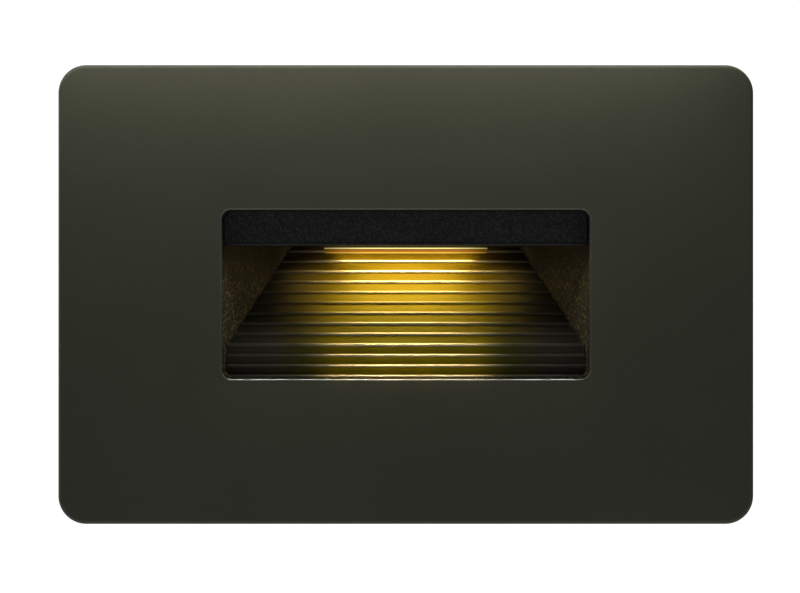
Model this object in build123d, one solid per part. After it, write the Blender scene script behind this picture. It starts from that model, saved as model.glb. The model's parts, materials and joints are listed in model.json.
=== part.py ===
from build123d import *

import math
import os

# Recessed step light for a horizontal wall box, with a screwless cast faceplate,
# a black recess with a ribbed baffle, a light bar hidden under a hood, and a driver
# housing behind it.
#
# X runs to the right, Z up and Y into the wall. The origin is the centre of the wall
# gasket's back face, where it meets the finished wall. All sizes are in millimetres.

# ---------------------------------------------------------------- clearances
THREAD_GAP = 0.05        # screw to its tapped hole, on the radius
PASS_GAP = 0.2           # screw to a hole that it passes through, on the radius
PEG_GAP = 0.08           # faceplate peg to its grommet, on the radius
LEAD_GAP = 0.05          # lead to its grommet or terminal, on the radius
SLIDE_GAP = 0.2          # inserts to the recess walls, along X and Y
HEAD_GAP = 0.6           # tallest screw head to the faceplate's back
RIM_GAP = 0.3            # faceplate rim to the wall gasket
COLLAR_GAP = 0.4         # recess collar to the faceplate's back
FRAME_SIDE_GAP = 1.25    # mounting frame to the inside of the faceplate's rim
OPENING_GAP = 1.0        # driver housing to the mounting frame's opening

# ---------------------------------------------------------------- faceplate
PLATE_W = 114.3
PLATE_H = 75.5
PLATE_WALL = 2.4
PLATE_RIM = 2.4
PLATE_CORNER_R = 4.6
PLATE_INNER_R = 2.2
PLATE_EDGE_R = 0.7
WINDOW_W = 60.5
WINDOW_H = 27.8
WINDOW_CORNER_R = 1.5
WINDOW_EDGE_R = 0.3
PEG_R = 2.0
PEG_TIP_CHAMFER = 0.5
PEG_TIP_DEPTH = 0.4      # peg tip in front of the wall plane
PEG_BOSS_R = 3.2
PEG_BOSS_GAP = 0.6       # peg boss to the grommet's front
PEG_INSET_X = 9.5        # peg axis to the mounting frame's edge
PEG_INSET_Z = 12.1

# ---------------------------------------------------------------- wall gasket, frame
WALL_GASKET_T = 2.0
WALL_GASKET_INSET = 1.0  # gasket edge inside the faceplate's edge
WALL_GASKET_LAP = 3.5    # width of gasket behind the mounting frame
WALL_GASKET_CORNER_R = 3.6
FRAME_T = 1.6
FRAME_CORNER_R = 3.0
OPENING_CORNER_R = 3.5
BOX_SCREW_PITCH = 83.3   # screw spacing of a single wall box
BOX_SCREW_R = 1.75
BOX_SCREW_LENGTH = 22.0
BOX_NECK_R = 1.4         # relieved neck under the head, which keeps the screw captive
BOX_NECK_END = 0.4       # thread start behind the wall plane
BOX_HEAD_R = 3.6
BOX_HEAD_H = 1.8
SLOT_W = 4.0
SLOT_L = 7.0
GROMMET_R = 3.4
GROMMET_LIP_R = 4.6
GROMMET_LIP_T = 1.2

# ---------------------------------------------------------------- light housing
SPLAY_DEG = 32.0         # side walls of the recess, closing in towards the back
MOUTH_INSET_X = 0.05     # recess mouth inside the window's edge
MOUTH_INSET_Z = 0.3
MOUTH_CORNER_R = 1.2
COLLAR_WALL = 1.4
HOUSING_WALL = 1.8
HOUSING_BACK_T = 4.0
HOUSING_EDGE_R = 1.0
FLANGE_T = 1.4
FLANGE_LAP_X = 3.0       # flange beyond the mounting frame's opening
FLANGE_LAP_Z = 6.5
FLANGE_CORNER_R = 4.0
RELIEF_GAP = 0.5         # flange to the grommets and to the box screws' heads
FLANGE_SCREW_X = 24.0
FLANGE_SCREW_R = 1.5
FLANGE_HEAD_R = 2.7
FLANGE_HEAD_H = 1.0
FLANGE_SCREW_TAIL = 1.0  # screw end behind the mounting frame

# ---------------------------------------------------------------- ribbed baffle
SLOPE_DEG = 45.0
RIB_PITCH = 1.73         # ridge to ridge, along Z
RIB_LEDGE = 0.35
RIB_R = 0.15
LIP_SETBACK = 0.6        # lip behind the collar's front
LIP_H = 5.57
LIP_TOOTH = 0.25
LIP_LEDGE = 0.9
LIP_WALL = 2.0
BAFFLE_WALL = 2.2
BAFFLE_TOP_GAP = 0.15
FOOT_T = 1.6
FOOT_MARGIN = 0.6        # foot behind its screw bosses
BAFFLE_SCREW_INSET = 7.0 # screw inside the recess's side wall
BAFFLE_SCREW_Y = 2.0
BAFFLE_BOSS_H = 3.0      # boss above the foot

# ---------------------------------------------------------------- lamp
HOOD_SETBACK = 0.2       # hood band behind the collar's front
HOOD_BAND_T = 1.6
HOOD_WALL = 1.6
HOOD_FLOOR_T = 1.1
HOOD_SCREW_OUT = 3.5     # hood screw beyond the board's end
HOOD_SCREW_Y = -1.0
HOOD_SCREW_SEAT = 2.6    # screw length inside the hood's boss
SPREADER_T = 1.4
SPREADER_LAP = 0.6       # spreader resting on the hood's side and rear walls
PAD_T = 0.3
PAD_END_GAP = 2.2        # pad to the board screws' axes
PAD_D = 8.0
LED_BOARD_END_GAP = 0.6  # board's rear corners to the hood's side walls
LED_BOARD_D = 10.0
LED_BOARD_T = 0.8
LED_COUNT = 6
LED_END_INSET = 2.6      # last LED's centre inside the lens's end
LED_W = 3.0
LED_H = 0.6
LED_DOME_R = 1.2
LED_DOME_H = 0.15
LED_GAP = 0.3            # LED to the lens
LED_SCREW_INSET = 1.8    # board screw inside the board's end
LED_SCREW_R = 1.0
LED_HEAD_R = 1.5
LED_HEAD_H = 0.6
LENS_Y = 4.0             # centre line of the light bar
LENS_END_GAP = 4.4       # lens inside the board's end
LENS_D = 7.0
LENS_DROP = 1.2          # lens below the hood
LENS_EDGE_R = 0.35
LENS_GAP = 0.2
LENS_FLANGE = 1.7        # flange beyond the lens body
LENS_FLANGE_T = 0.7
LENS_GASKET_T = 0.3
LENS_GASKET_INSET = 0.2  # gasket inside the lens flange's edge

# ---------------------------------------------------------------- inner leads
LEAD_R = 0.4
LEAD_PITCH = 2.0
LEAD_START = 3.0         # lead end behind the light bar's centre line
LEAD_BEND_R = 7.0
LEAD_SEAT = 2.2          # lead end inside its terminal
LEAD_NOTCH_W = 4.8
LEAD_NOTCH_FLOOR = 0.5   # notch below the lead
LEAD_GROMMET_R = 2.6
LEAD_GROMMET_LIP_R = 3.6
LEAD_GROMMET_LIP_T = 1.0

# ---------------------------------------------------------------- driver housing
DRIVER_W = 64.0
DRIVER_H = 42.0
DRIVER_DEPTH = 29.4
DRIVER_WALL = 1.6
DRIVER_CORNER_R = 3.0
DRIVER_INNER_R = 1.6
DRIVER_GASKET_T = 0.5
DRIVER_GASKET_INSET = 0.6
DRIVER_SCREW_INSET_X = 4.9
DRIVER_SCREW_INSET_Z = 4.6
DRIVER_SCREW_SEAT = 3.0
COVER_GASKET_T = 0.6
COVER_T = 2.0
COVER_EDGE_R = 0.6
COVER_SCREW_INSET = 4.8
COVER_BOSS_R = 3.2
COVER_WEB_R = 0.4        # corners of the web that joins a boss to its corner
COVER_SCREW_SEAT = 7.0
GROUND_X = -14.0
GROUND_Z = -8.0
GROUND_SCREW_R = 1.9
GROUND_HEAD_R = 3.6
GROUND_HEAD_H = 2.4
GROUND_BOSS_R = 4.0
GROUND_BOSS_H = 3.0
GROUND_SCREW_TAIL = 1.0
BUSHING_X = 9.0
BUSHING_Z = 3.0
BUSHING_R = 5.5
BUSHING_BORE_R = 4.0
BUSHING_FLANGE_R = 7.4
BUSHING_FLANGE_T = 1.6
BUSHING_SNAP_R = 6.0
BUSHING_SNAP_T = 1.2

# ---------------------------------------------------------------- driver board
BOARD_T = 1.6
BOARD_BOSS_H = 4.0
BOARD_BOSS_R = 2.4
BOARD_SIDE_GAP = 1.0     # board to the cover screws' bosses
BOARD_FRONT_GAP = 2.0
BOARD_BACK_GAP = 3.0
BOARD_SCREW_INSET = 2.6
BOARD_SCREW_SEAT = 3.0
OUT_TERMINAL_W = 7.0
OUT_TERMINAL_D = 6.6
OUT_TERMINAL_H = 8.5
OUT_TERMINAL_Y = -3.6    # from the board's centre
IN_TERMINAL_W = 10.4
IN_TERMINAL_D = 6.6
IN_TERMINAL_H = 9.0
IN_TERMINAL_X = 6.4
IN_TERMINAL_Y = 7.0
TERMINAL_ENTRY_R = 1.3
TERMINAL_ENTRY_DEPTH = 4.0
TERMINAL_EDGE_R = 0.4
TRANSFORMER_X = -12.2
TRANSFORMER_Y = 0.0
CORE_W = 16.0
CORE_D = 5.0
CORE_H = 14.0
CORE_LEG = 3.0
CORE_CENTRE_LEG = 4.0
WINDING_D = 12.0
WINDING_GAP = 0.1
WINDING_R = 1.0
TALL_CAP_R = 5.0
TALL_CAP_H = 16.0
TALL_CAP_X = 10.6
TALL_CAP_Y = -5.4
SHORT_CAP_R = 3.2
SHORT_CAP_H = 11.0
SHORT_CAP_X = 19.0
SHORT_CAP_Y = -2.8
CAP_EDGE_R = 0.5
FILM_CAP_W = 4.6
FILM_CAP_D = 5.6
FILM_CAP_H = 8.5
FILM_CAP_X = 14.7
FILM_CAP_Y = 3.4
INDUCTOR_R = 3.4
INDUCTOR_NECK_R = 2.3
INDUCTOR_H = 7.0
INDUCTOR_FLANGE_T = 1.2
INDUCTOR_X = -2.8
INDUCTOR_Y = 7.2
CHIP_W = 5.0
CHIP_D = 3.0
CHIP_H = 1.6
CHIP_X = 4.4
CHIP_Y = 1.7

# ---------------------------------------------------------------- common small screw
SCREW_R = 1.25
SCREW_HEAD_R = 2.2
SCREW_HEAD_H = 1.5
SCREW_BOSS_WALL = 1.15
BLIND_EXTRA = 0.4        # blind hole beyond its screw's end
DRIVE_ARM_WIDTH = 0.44   # cross recess arm width, per head radius
DRIVE_ARM_LENGTH = 1.1   # cross recess overall length, per head radius
DRIVE_DEPTH = 0.5        # cross recess depth, per head height
HEAD_ROUNDING = 0.4      # head edge radius, per head height

CUT = 5.0                # how far a cutting body runs past what it cuts
SAME_POINT = 0.01        # two points closer than this are one

# ---------------------------------------------------------------- depths along Y
FRAME_BACK_Y = -WALL_GASKET_T
FRAME_FRONT_Y = FRAME_BACK_Y - FRAME_T
FLANGE_FRONT_Y = FRAME_FRONT_Y - FLANGE_T
TALLEST_HEAD = max(FLANGE_T + FLANGE_HEAD_H, BOX_HEAD_H)
PLATE_BACK_Y = FRAME_FRONT_Y - TALLEST_HEAD - HEAD_GAP
PLATE_FRONT_Y = PLATE_BACK_Y - PLATE_WALL
PLATE_MID_Y = (PLATE_FRONT_Y + PLATE_BACK_Y) / 2
RIM_BACK_Y = FRAME_BACK_Y - RIM_GAP
COLLAR_FRONT_Y = PLATE_BACK_Y + COLLAR_GAP
GROMMET_FRONT_Y = FRAME_FRONT_Y - GROMMET_LIP_T
GROMMET_BACK_Y = FRAME_BACK_Y + GROMMET_LIP_T

# ---------------------------------------------------------------- sizes in X and Z
MOUTH_HALF_W = WINDOW_W / 2 - MOUTH_INSET_X
MOUTH_HALF_H = WINDOW_H / 2 - MOUTH_INSET_Z
FRAME_W = PLATE_W - 2 * (PLATE_RIM + FRAME_SIDE_GAP)
FRAME_H = PLATE_H - 2 * (PLATE_RIM + FRAME_SIDE_GAP)
OPENING_W = DRIVER_W + 2 * OPENING_GAP
OPENING_H = DRIVER_H + 2 * OPENING_GAP
FLANGE_W = OPENING_W + 2 * FLANGE_LAP_X
FLANGE_H = OPENING_H + 2 * FLANGE_LAP_Z
FLANGE_SCREW_Z = (OPENING_H + FLANGE_LAP_Z) / 2
PEG_X = FRAME_W / 2 - PEG_INSET_X
PEG_Z = FRAME_H / 2 - PEG_INSET_Z

# ---------------------------------------------------------------- the recess's taper
def recess_half_width(y):
    """Half width of the recess at depth y."""
    return MOUTH_HALF_W - (y - COLLAR_FRONT_Y) * math.tan(math.radians(SPLAY_DEG))


def across(thickness):
    """Length along X of a thickness measured square to the splayed side walls."""
    return thickness / math.cos(math.radians(SPLAY_DEG))


# ---------------------------------------------------------------- lamp heights, top down
SPREADER_LOW_Z = MOUTH_HALF_H - SPREADER_T
LED_BOARD_TOP_Z = SPREADER_LOW_Z - PAD_T
LED_BOARD_LOW_Z = LED_BOARD_TOP_Z - LED_BOARD_T
LED_LOW_Z = LED_BOARD_LOW_Z - LED_H
LENS_TOP_Z = LED_LOW_Z - LED_GAP
LENS_SEAT_Z = LENS_TOP_Z - LENS_FLANGE_T
HOOD_FLOOR_Z = LENS_SEAT_Z - LENS_GASKET_T
HOOD_LOW_Z = HOOD_FLOOR_Z - HOOD_FLOOR_T
LENS_LOW_Z = HOOD_LOW_Z - LENS_DROP
HOOD_FRONT_Y = COLLAR_FRONT_Y + HOOD_SETBACK
HOOD_WALL_INSET = SLIDE_GAP + across(HOOD_WALL)
LED_BOARD_BACK_HALF_W = recess_half_width(LENS_Y + LED_BOARD_D / 2)
LED_BOARD_L = 2 * (LED_BOARD_BACK_HALF_W - HOOD_WALL_INSET - LED_BOARD_END_GAP)
LED_SCREW_X = LED_BOARD_L / 2 - LED_SCREW_INSET
PAD_L = 2 * (LED_SCREW_X - PAD_END_GAP)
LENS_L = LED_BOARD_L - 2 * LENS_END_GAP
LED_PITCH = (LENS_L - 2 * LED_END_INSET) / (LED_COUNT - 1)
HOOD_SCREW_X = LED_BOARD_L / 2 + HOOD_SCREW_OUT

# ---------------------------------------------------------------- baffle levels
LIP_FRONT_Y = COLLAR_FRONT_Y + LIP_SETBACK
LIP_TOP_Z = LIP_H - MOUTH_HALF_H
SLOPE_FRONT_Y = LIP_FRONT_Y + LIP_LEDGE
RIB_RUN = RIB_PITCH / math.tan(math.radians(SLOPE_DEG))
BAFFLE_TOP_Z = HOOD_LOW_Z - BAFFLE_TOP_GAP
SLOPE_TOP_Y = SLOPE_FRONT_Y + (BAFFLE_TOP_Z - LIP_TOP_Z) / math.tan(math.radians(SLOPE_DEG))
BAFFLE_BACK_Y = SLOPE_TOP_Y + BAFFLE_WALL
SCREW_BOSS_R = SCREW_R + SCREW_BOSS_WALL
FOOT_BACK_Y = BAFFLE_SCREW_Y + SCREW_BOSS_R + FOOT_MARGIN
FOOT_TOP_Z = FOOT_T - MOUTH_HALF_H
BAFFLE_BOSS_TOP_Z = FOOT_TOP_Z + BAFFLE_BOSS_H
BAFFLE_SCREW_X = recess_half_width(BAFFLE_SCREW_Y) - BAFFLE_SCREW_INSET

# ---------------------------------------------------------------- housing and driver depths
POCKET_BACK_Y = BAFFLE_BACK_Y + SLIDE_GAP
HOUSING_BACK_Y = POCKET_BACK_Y + HOUSING_BACK_T
HOUSING_BACK_HALF_W = recess_half_width(HOUSING_BACK_Y) + across(HOUSING_WALL)
HOUSING_HALF_H = MOUTH_HALF_H + HOUSING_WALL
DRIVER_SCREW_X = HOUSING_BACK_HALF_W - DRIVER_SCREW_INSET_X
DRIVER_SCREW_Z = HOUSING_HALF_H - DRIVER_SCREW_INSET_Z
DRIVER_FRONT_Y = HOUSING_BACK_Y + DRIVER_GASKET_T
DRIVER_FLOOR_Y = DRIVER_FRONT_Y + DRIVER_WALL
DRIVER_RIM_Y = DRIVER_FRONT_Y + DRIVER_DEPTH
COVER_FRONT_Y = DRIVER_RIM_Y + COVER_GASKET_T
COVER_BACK_Y = COVER_FRONT_Y + COVER_T

BOARD_LOW_Z = -DRIVER_H / 2 + DRIVER_WALL + BOARD_BOSS_H
BOARD_TOP_Z = BOARD_LOW_Z + BOARD_T
BOARD_W = DRIVER_W - 2 * (COVER_SCREW_INSET + COVER_BOSS_R + BOARD_SIDE_GAP)
BOARD_FRONT_Y = DRIVER_FLOOR_Y + BOARD_FRONT_GAP
BOARD_BACK_Y = DRIVER_RIM_Y - BOARD_BACK_GAP
BOARD_MID_Y = (BOARD_FRONT_Y + BOARD_BACK_Y) / 2

LEAD_Z = LED_BOARD_LOW_Z - LEAD_R
LEAD_TURN_Y = BOARD_MID_Y + OUT_TERMINAL_Y
LEAD_END_Z = BOARD_TOP_Z + OUT_TERMINAL_H - LEAD_SEAT


# ---------------------------------------------------------------- shape helpers
def facing_plane(x, y, z):
    """Plane parallel to the wall whose normal points out of the wall."""
    return Plane(origin=(x, y, z), x_dir=(1, 0, 0), z_dir=(0, -1, 0))


def slab(width, height, corner_r, y_front, y_back, x=0, z=0):
    """Rounded rectangle parallel to the wall, from y_front to y_back."""
    outline = RectangleRounded(width, height, corner_r)
    return extrude(facing_plane(x, y_back, z) * outline, y_back - y_front)


def rod(x, z, radius, y_front, y_back):
    """Round bar along Y."""
    return extrude(facing_plane(x, y_back, z) * Circle(radius), y_back - y_front)


def post(x, y, radius, z_low, z_high):
    """Round bar along Z."""
    return extrude(Plane.XY.offset(z_low) * Pos(x, y) * Circle(radius), z_high - z_low)


def block(width, depth, x, y, z_low, z_high):
    """Square-edged block centred on x and y."""
    return extrude(Plane.XY.offset(z_low) * Pos(x, y) * Rectangle(width, depth), z_high - z_low)


def racetrack(length, depth, z_low, z_high):
    """Bar with half-round ends along X, centred on the light bar's line."""
    outline = SlotOverall(length, depth)
    return extrude(Plane.XY.offset(z_low) * Pos(0, LENS_Y) * outline, z_high - z_low)


def four(x, z):
    """The four corners at plus and minus x and z."""
    return [(x, z), (-x, z), (-x, -z), (x, -z)]


def recess_block(y_front, y_back, inset, z_low, z_high):
    """Block with the recess's splayed sides, each set in by a gap along X."""
    front = recess_half_width(y_front) - inset
    back = recess_half_width(y_back) - inset
    plan = Polygon((-front, y_front), (front, y_front), (back, y_back), (-back, y_back), align=None)
    return extrude(Plane.XY.offset(z_low) * plan, z_high - z_low)


def splayed_edges(solid):
    """The long edges where the splayed sides meet the top and bottom."""
    level_edges = [edge for edge in solid.edges() if edge.bounding_box().size.Z < SAME_POINT]
    return [
        edge
        for edge in level_edges
        if edge.bounding_box().size.X > SAME_POINT and edge.bounding_box().size.Y > SAME_POINT
    ]


def rounded_recess_block(y_front, y_back, inset, half_height, corner_r):
    """Recess block of full height with its long edges rounded."""
    solid = recess_block(y_front, y_back, inset, -half_height, half_height)
    return fillet(splayed_edges(solid), corner_r)


def screw(radius, length, head_r, head_h):
    """Cross-head screw along Z: the head's underside is at 0 and the shank runs down."""
    head = extrude(Circle(head_r), head_h)
    head = fillet(head.edges().sort_by(Axis.Z)[-1], head_h * HEAD_ROUNDING)
    shank = extrude(Circle(radius), -length)
    arm = Rectangle(head_r * DRIVE_ARM_LENGTH, head_r * DRIVE_ARM_WIDTH)
    cross = extrude(arm + Rot(0, 0, 90) * arm, head_h)
    return head + shank - Pos(0, 0, head_h * (1 - DRIVE_DEPTH)) * cross


def small_screw(length):
    """The common small screw."""
    return screw(SCREW_R, length, SCREW_HEAD_R, SCREW_HEAD_H)


def group(solids):
    """Separate solids kept together in one node."""
    return Compound(children=list(solids))


def front_screws(places, y_seat, one):
    """Screws driven from the front towards the wall, with their heads on the plane y_seat."""
    return group(facing_plane(x, y_seat, z) * one for x, z in places)


def rear_screws(places, y_seat, one):
    """Screws driven from the rear towards the room, with their heads on the plane y_seat."""
    return group(facing_plane(x, y_seat, z) * Rot(180, 0, 0) * one for x, z in places)


# ---------------------------------------------------------------- faceplate
def faceplate():
    """Cast cover with a raised rim, a window and four pegs on its back."""
    body = slab(PLATE_W, PLATE_H, PLATE_CORNER_R, PLATE_FRONT_Y, RIM_BACK_Y)
    body = fillet(body.faces().sort_by(Axis.Y)[0].edges(), PLATE_EDGE_R)
    body -= slab(
        PLATE_W - 2 * PLATE_RIM,
        PLATE_H - 2 * PLATE_RIM,
        PLATE_INNER_R,
        PLATE_BACK_Y,
        RIM_BACK_Y + CUT,
    )
    body -= slab(WINDOW_W, WINDOW_H, WINDOW_CORNER_R, PLATE_FRONT_Y - CUT, PLATE_BACK_Y + CUT)
    window_edges = [
        edge
        for edge in body.faces().sort_by(Axis.Y)[0].edges()
        if abs(edge.center().X) < WINDOW_W / 2 + WINDOW_CORNER_R
        and abs(edge.center().Z) < WINDOW_H / 2 + WINDOW_CORNER_R
    ]
    body = fillet(window_edges, WINDOW_EDGE_R)
    for x, z in four(PEG_X, PEG_Z):
        peg = rod(x, z, PEG_R, PLATE_MID_Y, -PEG_TIP_DEPTH)
        peg = chamfer(peg.edges().sort_by(Axis.Y)[-1], PEG_TIP_CHAMFER)
        boss = rod(x, z, PEG_BOSS_R, PLATE_MID_Y, GROMMET_FRONT_Y - PEG_BOSS_GAP)
        body += peg + boss
    return body


# ---------------------------------------------------------------- gasket, frame, grommets
def wall_gasket():
    """Flat foam ring between the wall and the mounting frame."""
    outer = slab(
        PLATE_W - 2 * WALL_GASKET_INSET,
        PLATE_H - 2 * WALL_GASKET_INSET,
        WALL_GASKET_CORNER_R,
        -WALL_GASKET_T,
        0,
    )
    inner = slab(
        FRAME_W - 2 * WALL_GASKET_LAP,
        FRAME_H - 2 * WALL_GASKET_LAP,
        FRAME_CORNER_R,
        -WALL_GASKET_T - CUT,
        CUT,
    )
    return outer - inner


def mounting_frame():
    """Steel frame with two slots for the wall box's screws and an opening for the housings."""
    body = slab(FRAME_W, FRAME_H, FRAME_CORNER_R, FRAME_FRONT_Y, FRAME_BACK_Y)
    front = FRAME_FRONT_Y - CUT
    back = FRAME_BACK_Y + CUT
    body -= slab(OPENING_W, OPENING_H, OPENING_CORNER_R, front, back)
    slot = Rot(0, 0, 90) * SlotOverall(SLOT_L, SLOT_W)
    for x, z in box_screw_places():
        body -= extrude(facing_plane(x, back, z) * slot, back - front)
    for x, z in four(PEG_X, PEG_Z):
        body -= rod(x, z, GROMMET_R, front, back)
    for x, z in four(FLANGE_SCREW_X, FLANGE_SCREW_Z):
        body -= rod(x, z, FLANGE_SCREW_R + THREAD_GAP, front, back)
    return body


def peg_grommets():
    """Rubber grommets that grip the faceplate's pegs."""
    grommets = []
    for x, z in four(PEG_X, PEG_Z):
        body = rod(x, z, GROMMET_R, FRAME_FRONT_Y, FRAME_BACK_Y)
        body += rod(x, z, GROMMET_LIP_R, GROMMET_FRONT_Y, FRAME_FRONT_Y)
        body += rod(x, z, GROMMET_LIP_R, FRAME_BACK_Y, GROMMET_BACK_Y)
        body -= rod(x, z, PEG_R + PEG_GAP, GROMMET_FRONT_Y - CUT, GROMMET_BACK_Y + CUT)
        grommets.append(body)
    return group(grommets)


def box_screw_places():
    """Positions of the wall box's screws."""
    return [(-BOX_SCREW_PITCH / 2, 0), (BOX_SCREW_PITCH / 2, 0)]


def box_screws():
    """The two screws that hold the light in its wall box, each with a relieved neck."""
    one = screw(BOX_SCREW_R, BOX_SCREW_LENGTH, BOX_HEAD_R, BOX_HEAD_H)
    one -= extrude(Circle(BOX_HEAD_R) - Circle(BOX_NECK_R), FRAME_FRONT_Y - BOX_NECK_END)
    return front_screws(box_screw_places(), FRAME_FRONT_Y, one)


# ---------------------------------------------------------------- light housing
def hood_screw_places():
    """Plan positions of the screws that hold the hood."""
    return [(-HOOD_SCREW_X, HOOD_SCREW_Y), (HOOD_SCREW_X, HOOD_SCREW_Y)]


def baffle_screw_places():
    """Plan positions of the screws that hold the baffle."""
    return [(-BAFFLE_SCREW_X, BAFFLE_SCREW_Y), (BAFFLE_SCREW_X, BAFFLE_SCREW_Y)]


def light_housing():
    """Cast recess with splayed side walls, a collar round its mouth and a flange."""
    flange = slab(FLANGE_W, FLANGE_H, FLANGE_CORNER_R, FLANGE_FRONT_Y, FRAME_FRONT_Y)
    for x, z in four(PEG_X, PEG_Z):
        relief_r = GROMMET_LIP_R + RELIEF_GAP
        flange -= rod(x, z, relief_r, FLANGE_FRONT_Y - CUT, FRAME_FRONT_Y + CUT)
    for x, z in box_screw_places():
        relief_r = BOX_HEAD_R + RELIEF_GAP
        flange -= rod(x, z, relief_r, FLANGE_FRONT_Y - CUT, FRAME_FRONT_Y + CUT)
    body = flange + rounded_recess_block(
        FLANGE_FRONT_Y, HOUSING_BACK_Y, -across(HOUSING_WALL), HOUSING_HALF_H, HOUSING_EDGE_R
    )
    body += slab(
        2 * (MOUTH_HALF_W + COLLAR_WALL),
        2 * (MOUTH_HALF_H + COLLAR_WALL),
        MOUTH_CORNER_R + COLLAR_WALL,
        COLLAR_FRONT_Y,
        FRAME_FRONT_Y,
    )
    body -= rounded_recess_block(
        COLLAR_FRONT_Y - CUT, POCKET_BACK_Y, 0, MOUTH_HALF_H, MOUTH_CORNER_R
    )
    for x, z in four(FLANGE_SCREW_X, FLANGE_SCREW_Z):
        body -= rod(x, z, FLANGE_SCREW_R + PASS_GAP, FLANGE_FRONT_Y - CUT, FRAME_FRONT_Y + CUT)
    for x, y in hood_screw_places():
        body -= post(x, y, SCREW_R + PASS_GAP, 0, HOUSING_HALF_H + CUT)
    for x, y in baffle_screw_places():
        body -= post(x, y, SCREW_R + PASS_GAP, -HOUSING_HALF_H - CUT, 0)
    for x, z in four(DRIVER_SCREW_X, DRIVER_SCREW_Z):
        end = HOUSING_BACK_Y - DRIVER_SCREW_SEAT - BLIND_EXTRA
        body -= rod(x, z, SCREW_R + THREAD_GAP, end, HOUSING_BACK_Y + CUT)
    body -= rod(0, LEAD_Z, LEAD_GROMMET_R, POCKET_BACK_Y, HOUSING_BACK_Y + CUT)
    return body


def housing_screws():
    """Screws that hold the housing's flange to the mounting frame."""
    length = FLANGE_T + FRAME_T + FLANGE_SCREW_TAIL
    one = screw(FLANGE_SCREW_R, length, FLANGE_HEAD_R, FLANGE_HEAD_H)
    return front_screws(four(FLANGE_SCREW_X, FLANGE_SCREW_Z), FLANGE_FRONT_Y, one)


# ---------------------------------------------------------------- ribbed baffle
def lip_profile():
    """Front of the lip from the bottom up, as a shallow sawtooth with level ledges."""
    points = []
    ridges = []
    count = int(LIP_H / RIB_PITCH) + 1
    for index in range(count - 1, -1, -1):
        ridge_z = LIP_TOP_Z - index * RIB_PITCH
        start_z = max(ridge_z - RIB_PITCH, -MOUTH_HALF_H)
        share = (ridge_z - start_z) / RIB_PITCH
        points.append((LIP_FRONT_Y + LIP_TOOTH * share, start_z))
        points.append((LIP_FRONT_Y, ridge_z))
        ridges.append((LIP_FRONT_Y, ridge_z))
    return points, ridges


def slope_profile():
    """Front of the slope from the bottom up: a steep flank and a level ledge for each rib."""
    points = []
    ridges = []
    flank_run = RIB_RUN - RIB_LEDGE
    index = 0
    while LIP_TOP_Z + (index + 1) * RIB_PITCH < BAFFLE_TOP_Z:
        foot_y = SLOPE_FRONT_Y + index * RIB_RUN
        foot_z = LIP_TOP_Z + index * RIB_PITCH
        ridge = (foot_y + flank_run, foot_z + RIB_PITCH)
        points.append((foot_y, foot_z))
        points.append(ridge)
        ridges.append(ridge)
        index += 1
    foot_y = SLOPE_FRONT_Y + index * RIB_RUN
    foot_z = LIP_TOP_Z + index * RIB_PITCH
    top_y = foot_y + (BAFFLE_TOP_Z - foot_z) * flank_run / RIB_PITCH
    points.append((foot_y, foot_z))
    points.append((top_y, BAFFLE_TOP_Z))
    return points, ridges


def ribbed_baffle():
    """Ribbed slope with a front lip and a flat foot, cut to the recess's splayed sides."""
    lip_points, lip_ridges = lip_profile()
    slope_points, slope_ridges = slope_profile()
    rise = math.tan(math.radians(SLOPE_DEG))
    inner_y = LIP_FRONT_Y + LIP_WALL
    slope_back_y = SLOPE_FRONT_Y + BAFFLE_WALL
    inner_z = LIP_TOP_Z + (inner_y - slope_back_y) * rise
    back_points = [
        (BAFFLE_BACK_Y, BAFFLE_TOP_Z),
        (inner_y, inner_z),
        (inner_y, FOOT_TOP_Z),
        (FOOT_BACK_Y, FOOT_TOP_Z),
        (FOOT_BACK_Y, -MOUTH_HALF_H),
    ]
    outline = make_face(Polyline(*lip_points, *slope_points, *back_points, close=True))
    ridges = lip_ridges + slope_ridges
    ridge_corners = [
        corner
        for corner in outline.vertices()
        if any(math.dist((corner.X, corner.Y), ridge) < SAME_POINT for ridge in ridges)
    ]
    outline = fillet(ridge_corners, RIB_R)
    body = extrude(Plane.YZ * outline, WINDOW_W, both=True)
    body &= rounded_recess_block(
        COLLAR_FRONT_Y, POCKET_BACK_Y, SLIDE_GAP, MOUTH_HALF_H, MOUTH_CORNER_R
    )
    for x, y in baffle_screw_places():
        body += post(x, y, SCREW_BOSS_R, -MOUTH_HALF_H, BAFFLE_BOSS_TOP_Z)
        body -= post(x, y, SCREW_R + THREAD_GAP, -MOUTH_HALF_H - CUT, BAFFLE_BOSS_TOP_Z + CUT)
    return body


def baffle_screws():
    """Screws from below through the housing into the baffle's foot."""
    one = Rot(180, 0, 0) * small_screw(HOUSING_WALL + FOOT_T + BAFFLE_BOSS_H)
    return group(Pos(x, y, -HOUSING_HALF_H) * one for x, y in baffle_screw_places())


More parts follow.
